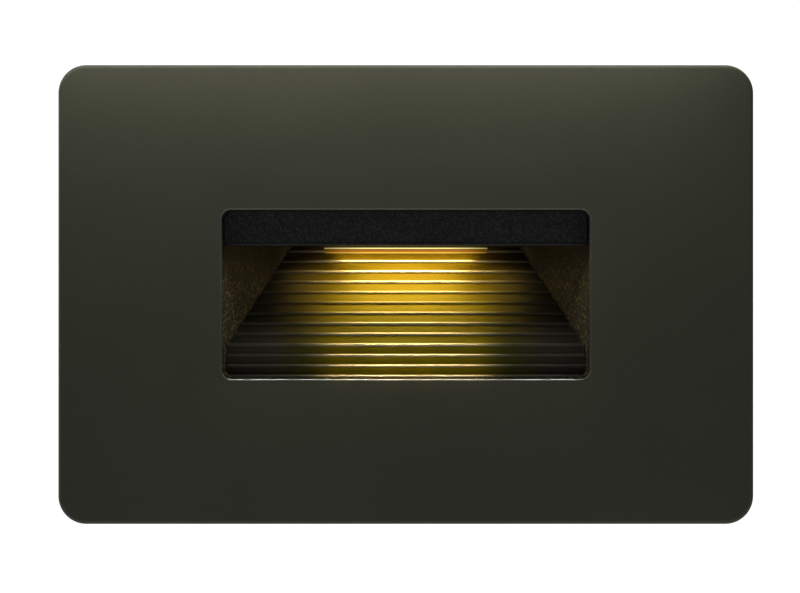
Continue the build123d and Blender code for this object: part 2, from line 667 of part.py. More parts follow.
# ---------------------------------------------------------------- lamp
def lamp_hood():
    """Tray under the recess's roof: front band, walls and a floor with the lens's opening."""
    back = POCKET_BACK_Y - SLIDE_GAP
    inner_front = HOOD_FRONT_Y + HOOD_BAND_T
    inner_back = back - HOOD_WALL
    body = rounded_recess_block(HOOD_FRONT_Y, back, SLIDE_GAP, MOUTH_HALF_H, MOUTH_CORNER_R)
    body -= recess_block(HOOD_FRONT_Y - CUT, back + CUT, -CUT, -MOUTH_HALF_H - CUT, HOOD_LOW_Z)
    body -= recess_block(inner_front, back + CUT, -CUT, SPREADER_LOW_Z, MOUTH_HALF_H + CUT)
    body -= recess_block(
        inner_front, inner_back, HOOD_WALL_INSET, HOOD_FLOOR_Z, SPREADER_LOW_Z + CUT
    )
    for x, y in hood_screw_places():
        body += post(x, y, SCREW_BOSS_R, HOOD_LOW_Z, SPREADER_LOW_Z)
        end = SPREADER_LOW_Z - HOOD_SCREW_SEAT - BLIND_EXTRA
        body -= post(x, y, SCREW_R + THREAD_GAP, end, SPREADER_LOW_Z + CUT)
    body -= racetrack(
        LENS_L + 2 * LENS_GAP, LENS_D + 2 * LENS_GAP, HOOD_LOW_Z - CUT, SPREADER_LOW_Z
    )
    body -= block(
        LEAD_NOTCH_W,
        2 * (back - inner_back),
        0,
        back,
        LEAD_Z - LEAD_R - LEAD_NOTCH_FLOOR,
        SPREADER_LOW_Z + CUT,
    )
    return body


def heat_spreader():
    """Aluminium plate that closes the hood and carries the light bar's board."""
    front = HOOD_FRONT_Y + HOOD_BAND_T + SLIDE_GAP
    back = POCKET_BACK_Y - SLIDE_GAP - HOOD_WALL + SPREADER_LAP
    inset = HOOD_WALL_INSET - SPREADER_LAP
    body = recess_block(front, back, inset, SPREADER_LOW_Z, MOUTH_HALF_H)
    for x, y in hood_screw_places():
        body -= post(x, y, SCREW_R + PASS_GAP, SPREADER_LOW_Z - CUT, MOUTH_HALF_H + CUT)
    hole_r = LED_SCREW_R + THREAD_GAP
    for x in (-LED_SCREW_X, LED_SCREW_X):
        body -= post(x, LENS_Y, hole_r, SPREADER_LOW_Z - CUT, MOUTH_HALF_H + CUT)
    return body


def hood_screws():
    """Screws from above through the housing and the spreader into the hood."""
    one = small_screw(HOUSING_WALL + SPREADER_T + HOOD_SCREW_SEAT)
    return group(Pos(x, y, HOUSING_HALF_H) * one for x, y in hood_screw_places())


def thermal_pad():
    """Soft pad between the light bar's board and the spreader."""
    return block(PAD_L, PAD_D, 0, LENS_Y, LED_BOARD_TOP_Z, SPREADER_LOW_Z)


def led_board():
    """Board of the light bar."""
    body = block(LED_BOARD_L, LED_BOARD_D, 0, LENS_Y, LED_BOARD_LOW_Z, LED_BOARD_TOP_Z)
    hole_r = LED_SCREW_R + PASS_GAP
    for x in (-LED_SCREW_X, LED_SCREW_X):
        body -= post(x, LENS_Y, hole_r, LED_BOARD_LOW_Z - CUT, LED_BOARD_TOP_Z + CUT)
    return body


def leds():
    """Row of LEDs under the board, each with a round emitter."""
    row = []
    for index in range(LED_COUNT):
        x = (index - (LED_COUNT - 1) / 2) * LED_PITCH
        body = block(LED_W, LED_W, x, LENS_Y, LED_LOW_Z + LED_DOME_H, LED_BOARD_LOW_Z)
        row.append(body + post(x, LENS_Y, LED_DOME_R, LED_LOW_Z, LED_LOW_Z + LED_DOME_H))
    return group(row)


def led_board_screws():
    """Small screws from below through the board into the spreader."""
    length = LED_BOARD_T + PAD_T + SPREADER_T - BLIND_EXTRA
    one = Rot(180, 0, 0) * screw(LED_SCREW_R, length, LED_HEAD_R, LED_HEAD_H)
    return group(Pos(side * LED_SCREW_X, LENS_Y, LED_BOARD_LOW_Z) * one for side in (-1, 1))


def lens():
    """Frosted bar with half-round ends that looks out under the hood, and its flange."""
    body = racetrack(LENS_L, LENS_D, LENS_LOW_Z, LENS_SEAT_Z)
    body = fillet(body.faces().sort_by(Axis.Z)[0].edges(), LENS_EDGE_R)
    flange = racetrack(LENS_L + 2 * LENS_FLANGE, LENS_D + 2 * LENS_FLANGE, LENS_SEAT_Z, LENS_TOP_Z)
    return body + flange


def lens_gasket():
    """Thin ring between the lens's flange and the hood's floor."""
    outer = LENS_FLANGE - LENS_GASKET_INSET
    ring = racetrack(LENS_L + 2 * outer, LENS_D + 2 * outer, HOOD_FLOOR_Z, LENS_SEAT_Z)
    inner = racetrack(
        LENS_L + 2 * LENS_GAP, LENS_D + 2 * LENS_GAP, HOOD_FLOOR_Z - CUT, LENS_SEAT_Z + CUT
    )
    return ring - inner


# ---------------------------------------------------------------- inner leads
def led_lead(x):
    """Lead from the light bar's board, back through the grommet and down to its terminal."""
    route = FilletPolyline(
        (x, LENS_Y + LEAD_START, LEAD_Z),
        (x, LEAD_TURN_Y, LEAD_Z),
        (x, LEAD_TURN_Y, LEAD_END_Z),
        radius=[LEAD_BEND_R],
    )
    section = Plane(origin=route @ 0, z_dir=route % 0) * Circle(LEAD_R)
    body = sweep(section, path=route)
    expected = math.pi * LEAD_R**2 * route.length
    print(f"lead at x={x:.1f}: radii [{LEAD_BEND_R}], length {route.length:.2f}, ", end="")
    print(f"volume {body.volume:.4f}, section x length {expected:.4f}")
    return body


def lead_grommet():
    """Rubber bush round both leads, through the housing's back and the driver housing's front."""
    body = rod(0, LEAD_Z, LEAD_GROMMET_R, POCKET_BACK_Y, DRIVER_FLOOR_Y)
    lip_end = DRIVER_FLOOR_Y + LEAD_GROMMET_LIP_T
    body += rod(0, LEAD_Z, LEAD_GROMMET_LIP_R, DRIVER_FLOOR_Y, lip_end)
    for x in (-LEAD_PITCH / 2, LEAD_PITCH / 2):
        body -= rod(x, LEAD_Z, LEAD_R + LEAD_GAP, POCKET_BACK_Y - CUT, lip_end + CUT)
    return body


# ---------------------------------------------------------------- driver housing
def driver_gasket():
    """Gasket between the two housings."""
    width = 2 * (HOUSING_BACK_HALF_W - DRIVER_GASKET_INSET)
    height = 2 * (HOUSING_HALF_H - DRIVER_GASKET_INSET)
    body = slab(width, height, DRIVER_INNER_R, HOUSING_BACK_Y, DRIVER_FRONT_Y)
    for x, z in four(DRIVER_SCREW_X, DRIVER_SCREW_Z):
        body -= rod(x, z, SCREW_R + PASS_GAP, HOUSING_BACK_Y - CUT, DRIVER_FRONT_Y + CUT)
    body -= rod(0, LEAD_Z, LEAD_GROMMET_R, HOUSING_BACK_Y - CUT, DRIVER_FRONT_Y + CUT)
    return body


def cover_screw_places():
    """Positions of the rear cover's screws."""
    return four(DRIVER_W / 2 - COVER_SCREW_INSET, DRIVER_H / 2 - COVER_SCREW_INSET)


def board_screw_places():
    """Plan positions of the driver board's screws."""
    x = BOARD_W / 2 - BOARD_SCREW_INSET
    front = BOARD_FRONT_Y + BOARD_SCREW_INSET
    back = BOARD_BACK_Y - BOARD_SCREW_INSET
    return [(-x, front), (x, front), (-x, back), (x, back)]


def cover_bosses(y_front, y_back):
    """Corner bosses for the cover's screws, each joined to its corner by a web."""
    reach = COVER_SCREW_INSET - DRIVER_WALL / 2
    bosses = Part()
    for x, z in cover_screw_places():
        web_x = x + math.copysign(reach / 2, x)
        web_z = z + math.copysign(reach / 2, z)
        bosses += rod(x, z, COVER_BOSS_R, y_front, y_back)
        bosses += slab(reach, reach, COVER_WEB_R, y_front, y_back, web_x, web_z)
    return bosses


def driver_housing():
    """Box open at the back, with corner bosses for the cover and low bosses for the board."""
    body = slab(DRIVER_W, DRIVER_H, DRIVER_CORNER_R, DRIVER_FRONT_Y, DRIVER_RIM_Y)
    body -= slab(
        DRIVER_W - 2 * DRIVER_WALL,
        DRIVER_H - 2 * DRIVER_WALL,
        DRIVER_INNER_R,
        DRIVER_FLOOR_Y,
        DRIVER_RIM_Y + CUT,
    )
    body += cover_bosses(DRIVER_FRONT_Y, DRIVER_RIM_Y)
    for x, y in board_screw_places():
        body += post(x, y, BOARD_BOSS_R, -DRIVER_H / 2 + DRIVER_WALL / 2, BOARD_LOW_Z)
        end = BOARD_LOW_Z - BOARD_SCREW_SEAT - BLIND_EXTRA
        body -= post(x, y, SCREW_R + THREAD_GAP, end, BOARD_LOW_Z)
    for x, z in cover_screw_places():
        end = DRIVER_RIM_Y - COVER_SCREW_SEAT - BLIND_EXTRA
        body -= rod(x, z, SCREW_R + THREAD_GAP, end, DRIVER_RIM_Y + CUT)
    for x, z in four(DRIVER_SCREW_X, DRIVER_SCREW_Z):
        body -= rod(x, z, SCREW_R + PASS_GAP, DRIVER_FRONT_Y - CUT, DRIVER_FLOOR_Y)
    body -= rod(0, LEAD_Z, LEAD_GROMMET_R, DRIVER_FRONT_Y - CUT, DRIVER_FLOOR_Y)
    return body


def driver_screws():
    """Screws from inside the driver housing into the light housing's back."""
    one = small_screw(DRIVER_WALL + DRIVER_GASKET_T + DRIVER_SCREW_SEAT)
    return rear_screws(four(DRIVER_SCREW_X, DRIVER_SCREW_Z), DRIVER_FLOOR_Y, one)


def rear_cover_gasket():
    """Gasket under the rear cover."""
    body = slab(DRIVER_W, DRIVER_H, DRIVER_CORNER_R, DRIVER_RIM_Y, COVER_FRONT_Y)
    inner = slab(
        DRIVER_W - 2 * DRIVER_WALL,
        DRIVER_H - 2 * DRIVER_WALL,
        DRIVER_INNER_R,
        DRIVER_RIM_Y - CUT,
        COVER_FRONT_Y + CUT,
    )
    body = body - inner + cover_bosses(DRIVER_RIM_Y, COVER_FRONT_Y)
    for x, z in cover_screw_places():
        body -= rod(x, z, SCREW_R + PASS_GAP, DRIVER_RIM_Y - CUT, COVER_FRONT_Y + CUT)
    return body


def rear_cover():
    """Flat cover with holes for the lead bushing and the screws, and a boss for the ground screw."""
    body = slab(DRIVER_W, DRIVER_H, DRIVER_CORNER_R, COVER_FRONT_Y, COVER_BACK_Y)
    body = fillet(body.faces().sort_by(Axis.Y)[-1].edges(), COVER_EDGE_R)
    body += rod(GROUND_X, GROUND_Z, GROUND_BOSS_R, COVER_FRONT_Y - GROUND_BOSS_H, COVER_FRONT_Y)
    front = COVER_FRONT_Y - CUT
    back = COVER_BACK_Y + CUT
    body -= rod(GROUND_X, GROUND_Z, GROUND_SCREW_R + THREAD_GAP, front, back)
    body -= rod(BUSHING_X, BUSHING_Z, BUSHING_R, front, back)
    for x, z in cover_screw_places():
        body -= rod(x, z, SCREW_R + PASS_GAP, front, back)
    return body


def rear_cover_screws():
    """Screws that hold the rear cover."""
    one = small_screw(COVER_T + COVER_GASKET_T + COVER_SCREW_SEAT)
    return rear_screws(cover_screw_places(), COVER_BACK_Y, one)


def ground_screw():
    """Grounding screw in the rear cover."""
    length = COVER_T + GROUND_BOSS_H + GROUND_SCREW_TAIL
    one = screw(GROUND_SCREW_R, length, GROUND_HEAD_R, GROUND_HEAD_H)
    return rear_screws([(GROUND_X, GROUND_Z)], COVER_BACK_Y, one)


def supply_bushing():
    """Snap-in bushing that the supply leads come in through."""
    front = COVER_FRONT_Y - BUSHING_SNAP_T
    back = COVER_BACK_Y + BUSHING_FLANGE_T
    body = rod(BUSHING_X, BUSHING_Z, BUSHING_R, COVER_FRONT_Y, COVER_BACK_Y)
    body += rod(BUSHING_X, BUSHING_Z, BUSHING_SNAP_R, front, COVER_FRONT_Y)
    body += rod(BUSHING_X, BUSHING_Z, BUSHING_FLANGE_R, COVER_BACK_Y, back)
    body -= rod(BUSHING_X, BUSHING_Z, BUSHING_BORE_R, front - CUT, back + CUT)
    return body


# ---------------------------------------------------------------- driver board
def driver_board():
    """Circuit board of the driver."""
    depth = BOARD_BACK_Y - BOARD_FRONT_Y
    body = block(BOARD_W, depth, 0, BOARD_MID_Y, BOARD_LOW_Z, BOARD_TOP_Z)
    for x, y in board_screw_places():
        body -= post(x, y, SCREW_R + PASS_GAP, BOARD_LOW_Z - CUT, BOARD_TOP_Z + CUT)
    return body


def board_screws():
    """Screws that hold the driver's board to its bosses."""
    one = small_screw(BOARD_T + BOARD_SCREW_SEAT)
    return group(Pos(x, y, BOARD_TOP_Z) * one for x, y in board_screw_places())


def on_board(width, depth, height, x, y):
    """Block standing on the driver's board, placed from the board's centre."""
    return block(width, depth, x, BOARD_MID_Y + y, BOARD_TOP_Z, BOARD_TOP_Z + height)


def can_on_board(radius, height, x, y):
    """Upright round can standing on the driver's board."""
    body = post(x, BOARD_MID_Y + y, radius, BOARD_TOP_Z, BOARD_TOP_Z + height)
    return fillet(body.edges().sort_by(Axis.Z)[-1], CAP_EDGE_R)


def output_terminal():
    """Terminal that the light bar's leads drop into."""
    body = on_board(OUT_TERMINAL_W, OUT_TERMINAL_D, OUT_TERMINAL_H, 0, OUT_TERMINAL_Y)
    body = fillet(body.edges().filter_by(Axis.Z), TERMINAL_EDGE_R)
    for x in (-LEAD_PITCH / 2, LEAD_PITCH / 2):
        body -= post(x, LEAD_TURN_Y, LEAD_R + LEAD_GAP, LEAD_END_Z, LEAD_END_Z + LEAD_SEAT + CUT)
    return body


def input_terminal():
    """Terminal for the supply leads, with two entries that face the rear cover."""
    body = on_board(IN_TERMINAL_W, IN_TERMINAL_D, IN_TERMINAL_H, IN_TERMINAL_X, IN_TERMINAL_Y)
    body = fillet(body.edges().filter_by(Axis.Z), TERMINAL_EDGE_R)
    back = BOARD_MID_Y + IN_TERMINAL_Y + IN_TERMINAL_D / 2
    for side in (-1, 1):
        body -= rod(
            IN_TERMINAL_X + side * IN_TERMINAL_W / 4,
            BOARD_TOP_Z + IN_TERMINAL_H / 2,
            TERMINAL_ENTRY_R,
            back - TERMINAL_ENTRY_DEPTH,
            back + CUT,
        )
    return body


def transformer_core():
    """Ferrite core: an outer frame with a centre leg."""
    y = TRANSFORMER_Y
    window_w = (CORE_W - 2 * CORE_LEG - CORE_CENTRE_LEG) / 2
    window_x = (CORE_CENTRE_LEG + window_w) / 2
    body = on_board(CORE_W, CORE_D, CORE_H, TRANSFORMER_X, y)
    for side in (-1, 1):
        body -= block(
            window_w,
            CORE_D + CUT,
            TRANSFORMER_X + side * window_x,
            BOARD_MID_Y + y,
            BOARD_TOP_Z + CORE_LEG,
            BOARD_TOP_Z + CORE_H - CORE_LEG,
        )
    return body


def transformer_winding():
    """Taped winding round the core's centre leg."""
    low = BOARD_TOP_Z + CORE_LEG + WINDING_GAP
    high = BOARD_TOP_Z + CORE_H - CORE_LEG - WINDING_GAP
    width = CORE_W - 2 * (CORE_LEG + WINDING_GAP)
    y = BOARD_MID_Y + TRANSFORMER_Y
    body = block(width, WINDING_D, TRANSFORMER_X, y, low, high)
    body = fillet(body.edges().filter_by(Axis.Z), WINDING_R)
    leg = CORE_CENTRE_LEG + 2 * WINDING_GAP
    body -= block(leg, CORE_D + 2 * WINDING_GAP, TRANSFORMER_X, y, low - CUT, high + CUT)
    return body


def capacitors():
    """The driver's two round capacitors."""
    tall = can_on_board(TALL_CAP_R, TALL_CAP_H, TALL_CAP_X, TALL_CAP_Y)
    short = can_on_board(SHORT_CAP_R, SHORT_CAP_H, SHORT_CAP_X, SHORT_CAP_Y)
    return group([tall, short])


def film_capacitor():
    """Boxed capacitor across the supply."""
    body = on_board(FILM_CAP_W, FILM_CAP_D, FILM_CAP_H, FILM_CAP_X, FILM_CAP_Y)
    return fillet(body.edges().filter_by(Axis.Z), CAP_EDGE_R)


def inductor():
    """Drum-core inductor."""
    y = BOARD_MID_Y + INDUCTOR_Y
    top = BOARD_TOP_Z + INDUCTOR_H
    body = post(INDUCTOR_X, y, INDUCTOR_R, BOARD_TOP_Z, BOARD_TOP_Z + INDUCTOR_FLANGE_T)
    body += post(INDUCTOR_X, y, INDUCTOR_NECK_R, BOARD_TOP_Z, top)
    body += post(INDUCTOR_X, y, INDUCTOR_R, top - INDUCTOR_FLANGE_T, top)
    return body


def driver_chip():
    """Driver's integrated circuit."""
    return on_board(CHIP_W, CHIP_D, CHIP_H, CHIP_X, CHIP_Y)


# ---------------------------------------------------------------- output
NODES = {
    "faceplate": faceplate,
    "wall_gasket": wall_gasket,
    "mounting_frame": mounting_frame,
    "peg_grommets": peg_grommets,
    "box_screws": box_screws,
    "light_housing": light_housing,
    "housing_screws": housing_screws,
    "ribbed_baffle": ribbed_baffle,
    "baffle_screws": baffle_screws,
    "lamp_hood": lamp_hood,
    "hood_screws": hood_screws,
    "heat_spreader": heat_spreader,
    "thermal_pad": thermal_pad,
    "led_board": led_board,
    "leds": leds,
    "led_board_screws": led_board_screws,
    "lens": lens,
    "lens_gasket": lens_gasket,
    "led_lead_positive": lambda: led_lead(LEAD_PITCH / 2),
    "led_lead_negative": lambda: led_lead(-LEAD_PITCH / 2),
    "lead_grommet": lead_grommet,
    "driver_gasket": driver_gasket,
    "driver_housing": driver_housing,
    "driver_screws": driver_screws,
    "driver_board": driver_board,
    "board_screws": board_screws,
    "output_terminal": output_terminal,
    "input_terminal": input_terminal,
    "transformer_core": transformer_core,
    "transformer_winding": transformer_winding,
    "capacitors": capacitors,
    "film_capacitor": film_capacitor,
    "inductor": inductor,
    "driver_chip": driver_chip,
    "rear_cover_gasket": rear_cover_gasket,
    "rear_cover": rear_cover,
    "rear_cover_screws": rear_cover_screws,
    "ground_screw": ground_screw,
    "supply_bushing": supply_bushing,
}

os.makedirs("parts", exist_ok=True)
for node_name, make_node in NODES.items():
    export_step(make_node(), f"parts/{node_name}.step")
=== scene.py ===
import json
import math
from collections import namedtuple

import bmesh
import bpy
import numpy as np
from bpy.props import FloatProperty, FloatVectorProperty, PointerProperty
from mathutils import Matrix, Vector


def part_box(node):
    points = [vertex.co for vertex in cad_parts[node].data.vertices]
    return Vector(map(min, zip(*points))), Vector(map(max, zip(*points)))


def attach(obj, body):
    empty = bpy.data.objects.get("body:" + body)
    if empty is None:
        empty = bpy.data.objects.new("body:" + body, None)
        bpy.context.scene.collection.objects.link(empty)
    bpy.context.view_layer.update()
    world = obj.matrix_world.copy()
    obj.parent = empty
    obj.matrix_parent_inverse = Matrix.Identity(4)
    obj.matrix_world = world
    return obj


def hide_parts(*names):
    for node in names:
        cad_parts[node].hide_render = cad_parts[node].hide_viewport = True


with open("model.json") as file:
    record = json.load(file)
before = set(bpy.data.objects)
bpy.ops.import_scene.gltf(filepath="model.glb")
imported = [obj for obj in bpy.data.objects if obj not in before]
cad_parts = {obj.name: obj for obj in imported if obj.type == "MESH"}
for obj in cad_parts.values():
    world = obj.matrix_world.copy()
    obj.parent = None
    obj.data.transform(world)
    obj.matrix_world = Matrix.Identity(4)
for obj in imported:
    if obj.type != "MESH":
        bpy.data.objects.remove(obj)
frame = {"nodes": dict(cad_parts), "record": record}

bl_info = {
    "name": "Recessed step light",
    "version": (1, 0, 0),
    "blender": (4, 5, 0),
    "location": "3D View > Sidebar > Step light",
    "description": "Dresses the packed step light with its pieces, finishes and stage",
    "category": "Object",
}

MM = 0.001
SAME_POINT = 1e-7           # metres: points closer than this are one
HALF_TURN = math.pi
FULL_TURN = 2 * math.pi
WHITE = (1.0, 1.0, 1.0)
BLACK = (0.0, 0.0, 0.0)
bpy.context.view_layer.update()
PLATE_LOW, PLATE_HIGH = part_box("faceplate")
BAFFLE_LOW, BAFFLE_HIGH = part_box("ribbed_baffle")
LENS_LOW, LENS_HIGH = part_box("lens")
HOOD_LOW, HOOD_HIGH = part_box("lamp_hood")
GROMMET_LOW, GROMMET_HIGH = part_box("peg_grommets")


# ---- sizes and colours
def number(name, description, default, **kind):
    """A property of one number."""
    return FloatProperty(name=name, description=description, default=default, **kind)


def length(name, description, default):
    """A length property, whose default is given here in millimetres."""
    return number(name, description, default * MM, min=0.0, precision=5, unit="LENGTH")


def colour(name, description, default):
    """A colour property."""
    return FloatVectorProperty(name=name, description=description, default=default,
                               size=3, min=0.0, max=1.0, subtype="COLOR")


class StepLightSizes(bpy.types.PropertyGroup):
    """Sizes of the pieces that are made here."""

    plate_corner: length("Plate corner", "Radius of the faceplate's corners", 4.6)
    plate_edge: length("Plate edge", "Rounding of the faceplate's front edge", 0.7)
    plate_wall: length("Plate wall", "Thickness of the faceplate's front", 2.4)
    plate_rim: length("Plate rim", "Thickness of the faceplate's rim", 2.4)
    rim_depth: length("Rim depth", "Depth of the faceplate with its rim", 6.7)
    inner_corner: length("Inner corner", "Radius of the rim's inner corners", 2.2)
    window_width: length("Window width", "Width of the window", 60.5)
    window_height: length("Window height", "Height of the window", 27.8)
    window_corner: length("Window corner", "Radius of the window's corners", 1.5)
    window_edge: length("Window edge", "Rounding of the window's front edge", 0.3)
    peg_radius: length("Peg radius", "Radius of the pegs on the plate's back", 2.0)
    boss_radius: length("Boss radius", "Radius of the boss under each peg", 3.2)
    rib_pitch: length("Rib pitch", "Height from ridge to ridge", 1.73)
    rib_ledge: length("Rib ledge", "Depth of the level ledge behind each ridge", 0.35)
    ridge_bead: length("Ridge bead", "Radius of the bead along each ridge", 0.30)
    rib_bulge: length("Rib bulge", "How far the flank between two ridges swells", 0.05)
    lip_height: length("Lip height", "Height of the baffle's front lip", 5.57)
    lip_tooth: length("Lip tooth", "Depth of the lip's shallow steps", 0.32)
    lip_wall: length("Lip wall", "Thickness of the lip", 2.0)
    lip_ledge: length("Lip ledge", "Depth of the ledge on top of the lip", 0.9)
    baffle_wall: length("Baffle wall", "Depth of the slope's wall", 2.2)
    baffle_corner: length("Baffle corner", "Radius of the lip's lower corners", 1.0)
    end_rounding: length("End rounding", "Rounding of the baffle's end edges", 0.12)
    foot_height: length("Foot height", "Thickness of the baffle's foot", 1.6)
    foot_depth: length("Foot depth", "Depth of the baffle's foot", 10.6)
    grommet_lip: length("Grommet lip", "Radius of the grommets' lips", 4.6)
    lens_edge: length("Lens edge", "Rounding of the lens's lower edge", 0.35)
    lens_flange: length("Lens flange", "Width of the lens's flange", 1.7)
    splay: number("Splay", "Angle of the side walls", math.radians(32.0), subtype="ANGLE")
    slope: number("Slope", "Angle of the ribbed slope", math.radians(45.0), subtype="ANGLE")


class StepLightColours(bpy.types.PropertyGroup):
    """Colours of the finishes."""

    paint: colour("Bronze paint", "Main colour of the faceplate", (0.0440, 0.0460, 0.0303))
    paint_light: colour("Light paint", "Lighter patches of the paint", (0.0535, 0.0555, 0.0370))
    casting: colour("Casting", "Black of the recess", (0.0215, 0.0178, 0.0090))
    # The baffle's three colours paint the lamp's light: gold near it, paler on the lip, black at
    # the ends
    baffle: colour("Baffle", "Dark gold of the ribs near the lamp", (0.064, 0.044, 0.0014))
    baffle_lip_painted_light: colour("Baffle, low", "Their greener gold near the lip", (0.116, 0.106, 0.0045))
    baffle_ends_painted_shade: colour("Baffle, sides", "Their black towards the ends", (0.058, 0.054, 0.040))
    # Paler bead metal: partly rubbed bare, partly a painted highlight of the lamp.
    ridge: colour("Ridge", "Paler metal of the ribs' beads", (0.38, 0.36, 0.305))
    # Paler window edge: partly rubbed bare, partly a painted highlight.
    edge: colour("Worn edge", "Paler edge round the window", (0.14, 0.143, 0.125))
    glow: colour("Glow", "Colour of the lamp's light", (1.0, 0.73, 0.28))
    lens_light: colour("Lens underside", "Colour of the lens's lit underside", (1.0, 0.60, 0.09))
    lens_body: colour("Lens side", "Colour of the lens's lit side", (0.20, 0.045, 0.0))
    steel: colour("Steel", "Plated steel", (0.60, 0.60, 0.58))
    rubber: colour("Rubber", "Gaskets, grommets and bushings", (0.020, 0.020, 0.021))
    circuit: colour("Circuit board", "Solder mask", (0.015, 0.10, 0.035))


class StepLightStage(bpy.types.PropertyGroup):
    """Camera and light."""

    camera_distance: length("Camera distance", "From the faceplate's front", 900.0)
    view_width: length("View width", "Width that the camera sees at the plate", 131.5)
    lamp_power: number("Lamp power", "Power of the lamp's beam", 0.0041, min=0.0, precision=5,
                       unit="POWER")
    studio_level: number("Studio level", "Brightness of the studio around", 0.045, min=0.0)


Settings = namedtuple("Settings", "sizes colours stage")


def settings():
    """The sizes, colours and stage values, as they are set now."""
    scene = bpy.context.scene
    return Settings(scene.step_light_sizes, scene.step_light_colours, scene.step_light_stage)


# ---- surfaces
def grid_quads(rows, columns, loop_rows, loop_columns):
    """Quads of a grid: each point with its next column and next row, wrapped where looped."""
    row, column = np.meshgrid(np.arange(rows - (not loop_rows)),
                              np.arange(columns - (not loop_columns)), indexing="ij")
    next_row, next_column = (row + 1) % rows, (column + 1) % columns
    corners = (row * columns + column, row * columns + next_column,
               next_row * columns + next_column, next_row * columns + column)
    return np.stack(corners, -1).reshape(-1, 4)


def surface(x, y, z, loop_rows=False, loop_columns=True):
    """Points and quads of a surface whose x, y and z are given for each row and column."""
    points = np.stack(np.broadcast_arrays(x, y, z), -1)
    rows, columns, _ = points.shape
    return points.reshape(-1, 3), grid_quads(rows, columns, loop_rows, loop_columns)


def whole_turn(count):
    """One row of angles: a whole turn in equal steps, without its end, which is its start."""
    return np.linspace(0, FULL_TURN, count, endpoint=False)[None, :]


def rounded_outlines(half_a, half_b, radius, arc):
    """Rounded rectangles, one for each row: corner centre (half - radius) plus radius times
    (cos, sin).

    The four corner arcs follow one another, and the straight sides are the steps between them.
    """
    half_a, half_b, radius = (np.asarray(v, float)[:, None] for v in (half_a, half_b, radius))
    quarter = np.linspace(0, HALF_TURN / 2, arc)
    angle = np.concatenate([quarter + turn * HALF_TURN / 2 for turn in range(4)])
    sign_a = np.repeat([1, -1, -1, 1], arc)
    sign_b = np.repeat([1, 1, -1, -1], arc)
    a = sign_a * (half_a - radius) + radius * np.cos(angle)
    b = sign_b * (half_b - radius) + radius * np.sin(angle)
    return a, b


def fillet_steps(count):
    """Shares (1 - cos t, 1 - sin t) of a quarter turn, for a rounded edge."""
    turn = np.linspace(0, HALF_TURN / 2, count)
    return 1 - np.cos(turn), 1 - np.sin(turn)


def lathe(radius, height, columns, closed=False):
    """Turned surface: (r cos t, r sin t, h) for each profile point and each angle t."""
    radius, height = (np.asarray(row, float)[:, None] for row in (radius, height))
    angle = whole_turn(columns)
    return surface(radius * np.cos(angle), radius * np.sin(angle), height, loop_rows=closed)


# Rows say where a shell's own X, Y and Z go when its Z is turned to the named axis.
AXES = {
    "-Y": np.array([[1, 0, 0], [0, 0, 1], [0, -1, 0]], float),
    "+Y": np.array([[-1, 0, 0], [0, 0, 1], [0, 1, 0]], float),
    "+Z": np.eye(3),
    "-Z": np.array([[1, 0, 0], [0, -1, 0], [0, 0, -1]], float),
}


def turned_to(shell, axis, origin):
    """A shell made along Z, turned so that its Z points along an axis, and moved to an origin."""
    points, faces = shell
    return points @ AXES[axis] + origin, faces


def joined(shells):
    """One set of points and faces from several shells."""
    points, faces, first = [], [], 0
    for shell_points, shell_faces in shells:
        points.append(shell_points)
        faces.extend(tuple(int(corner) + first for corner in face) for face in shell_faces)
        first += len(shell_points)
    return np.concatenate(points), faces


def new_mesh(name, points, faces):
    """A mesh of points and faces."""
    mesh = bpy.data.meshes.new(name)
    mesh.from_pydata(points.tolist(), [], faces)
    return mesh


def new_object(name, data):
    """An object in the scene, at the origin."""
    made = bpy.data.objects.new(name, data)
    bpy.context.scene.collection.objects.link(made)
    return made


def put_piece(name, shells, body, node, slot, sharp_degrees=32):
    """Puts shells into a mesh, closes their seams and poles, turns their faces outwards and puts
    the piece in its CAD node's place, where it has one."""
    mesh = new_mesh(name, *joined(shells))
    work = bmesh.new()
    work.from_mesh(mesh)
    bmesh.ops.remove_doubles(work, verts=work.verts, dist=SAME_POINT)
    bmesh.ops.dissolve_degenerate(work, edges=work.edges, dist=SAME_POINT / 10)
    bmesh.ops.recalc_face_normals(work, faces=work.faces)
    work.to_mesh(mesh)
    work.free()
    mesh.shade_smooth()
    mesh.set_sharp_from_angle(angle=math.radians(sharp_degrees))
    mesh.materials.append(finish_of(slot))
    piece = new_object(name, mesh)
    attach(piece, body)
    if node:
        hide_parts(node)
    return piece


# ---- screws
# Node, axis that the head faces and slot, then in millimetres the shank's radius, the head's
# radius and height, the thread's pitch, and the neck's radius and length where there is a neck.
SMALL_SCREW = (1.25, 2.2, 1.5, 0.5)
SCREWS = (
    ("box_screws", "-Y", "screw_steel", 1.75, 3.6, 1.8, 0.8, 1.4, 4.0),
    ("housing_screws", "-Y", "screw_steel", 1.5, 2.7, 1.0, 0.5),
    ("baffle_screws", "-Z", "black_screw", *SMALL_SCREW),
    ("hood_screws", "+Z", "black_screw", *SMALL_SCREW),
    ("led_board_screws", "-Z", "screw_steel", 1.0, 1.5, 0.6, 0.4),
    ("driver_screws", "+Y", "screw_steel", *SMALL_SCREW),
    ("board_screws", "+Z", "screw_steel", *SMALL_SCREW),
    ("rear_cover_screws", "+Y", "screw_steel", *SMALL_SCREW),
    ("ground_screw", "+Y", "ground_green", 1.9, 3.6, 2.4, 0.8),
)


def screw_places(node, axis, head_radius):
    """Centres of a node's like screws: its box less the head's radius, on each side. Then the
    axis's number, and where the box starts and ends along it."""
    least, decimals = 0.001 * MM, 9
    low, high = (np.array(corner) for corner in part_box(node))
    along = "XYZ".index(axis[1])
    middle, reach = (low + high) / 2, (high - low) / 2 - head_radius
    reach[reach < least] = 0
    reach[along] = 0
    signs = 2 * np.array(list(np.ndindex(2, 2, 2))) - 1
    places = np.unique(np.round(middle + signs * reach, decimals), axis=0)
    return places, along, low[along], high[along]


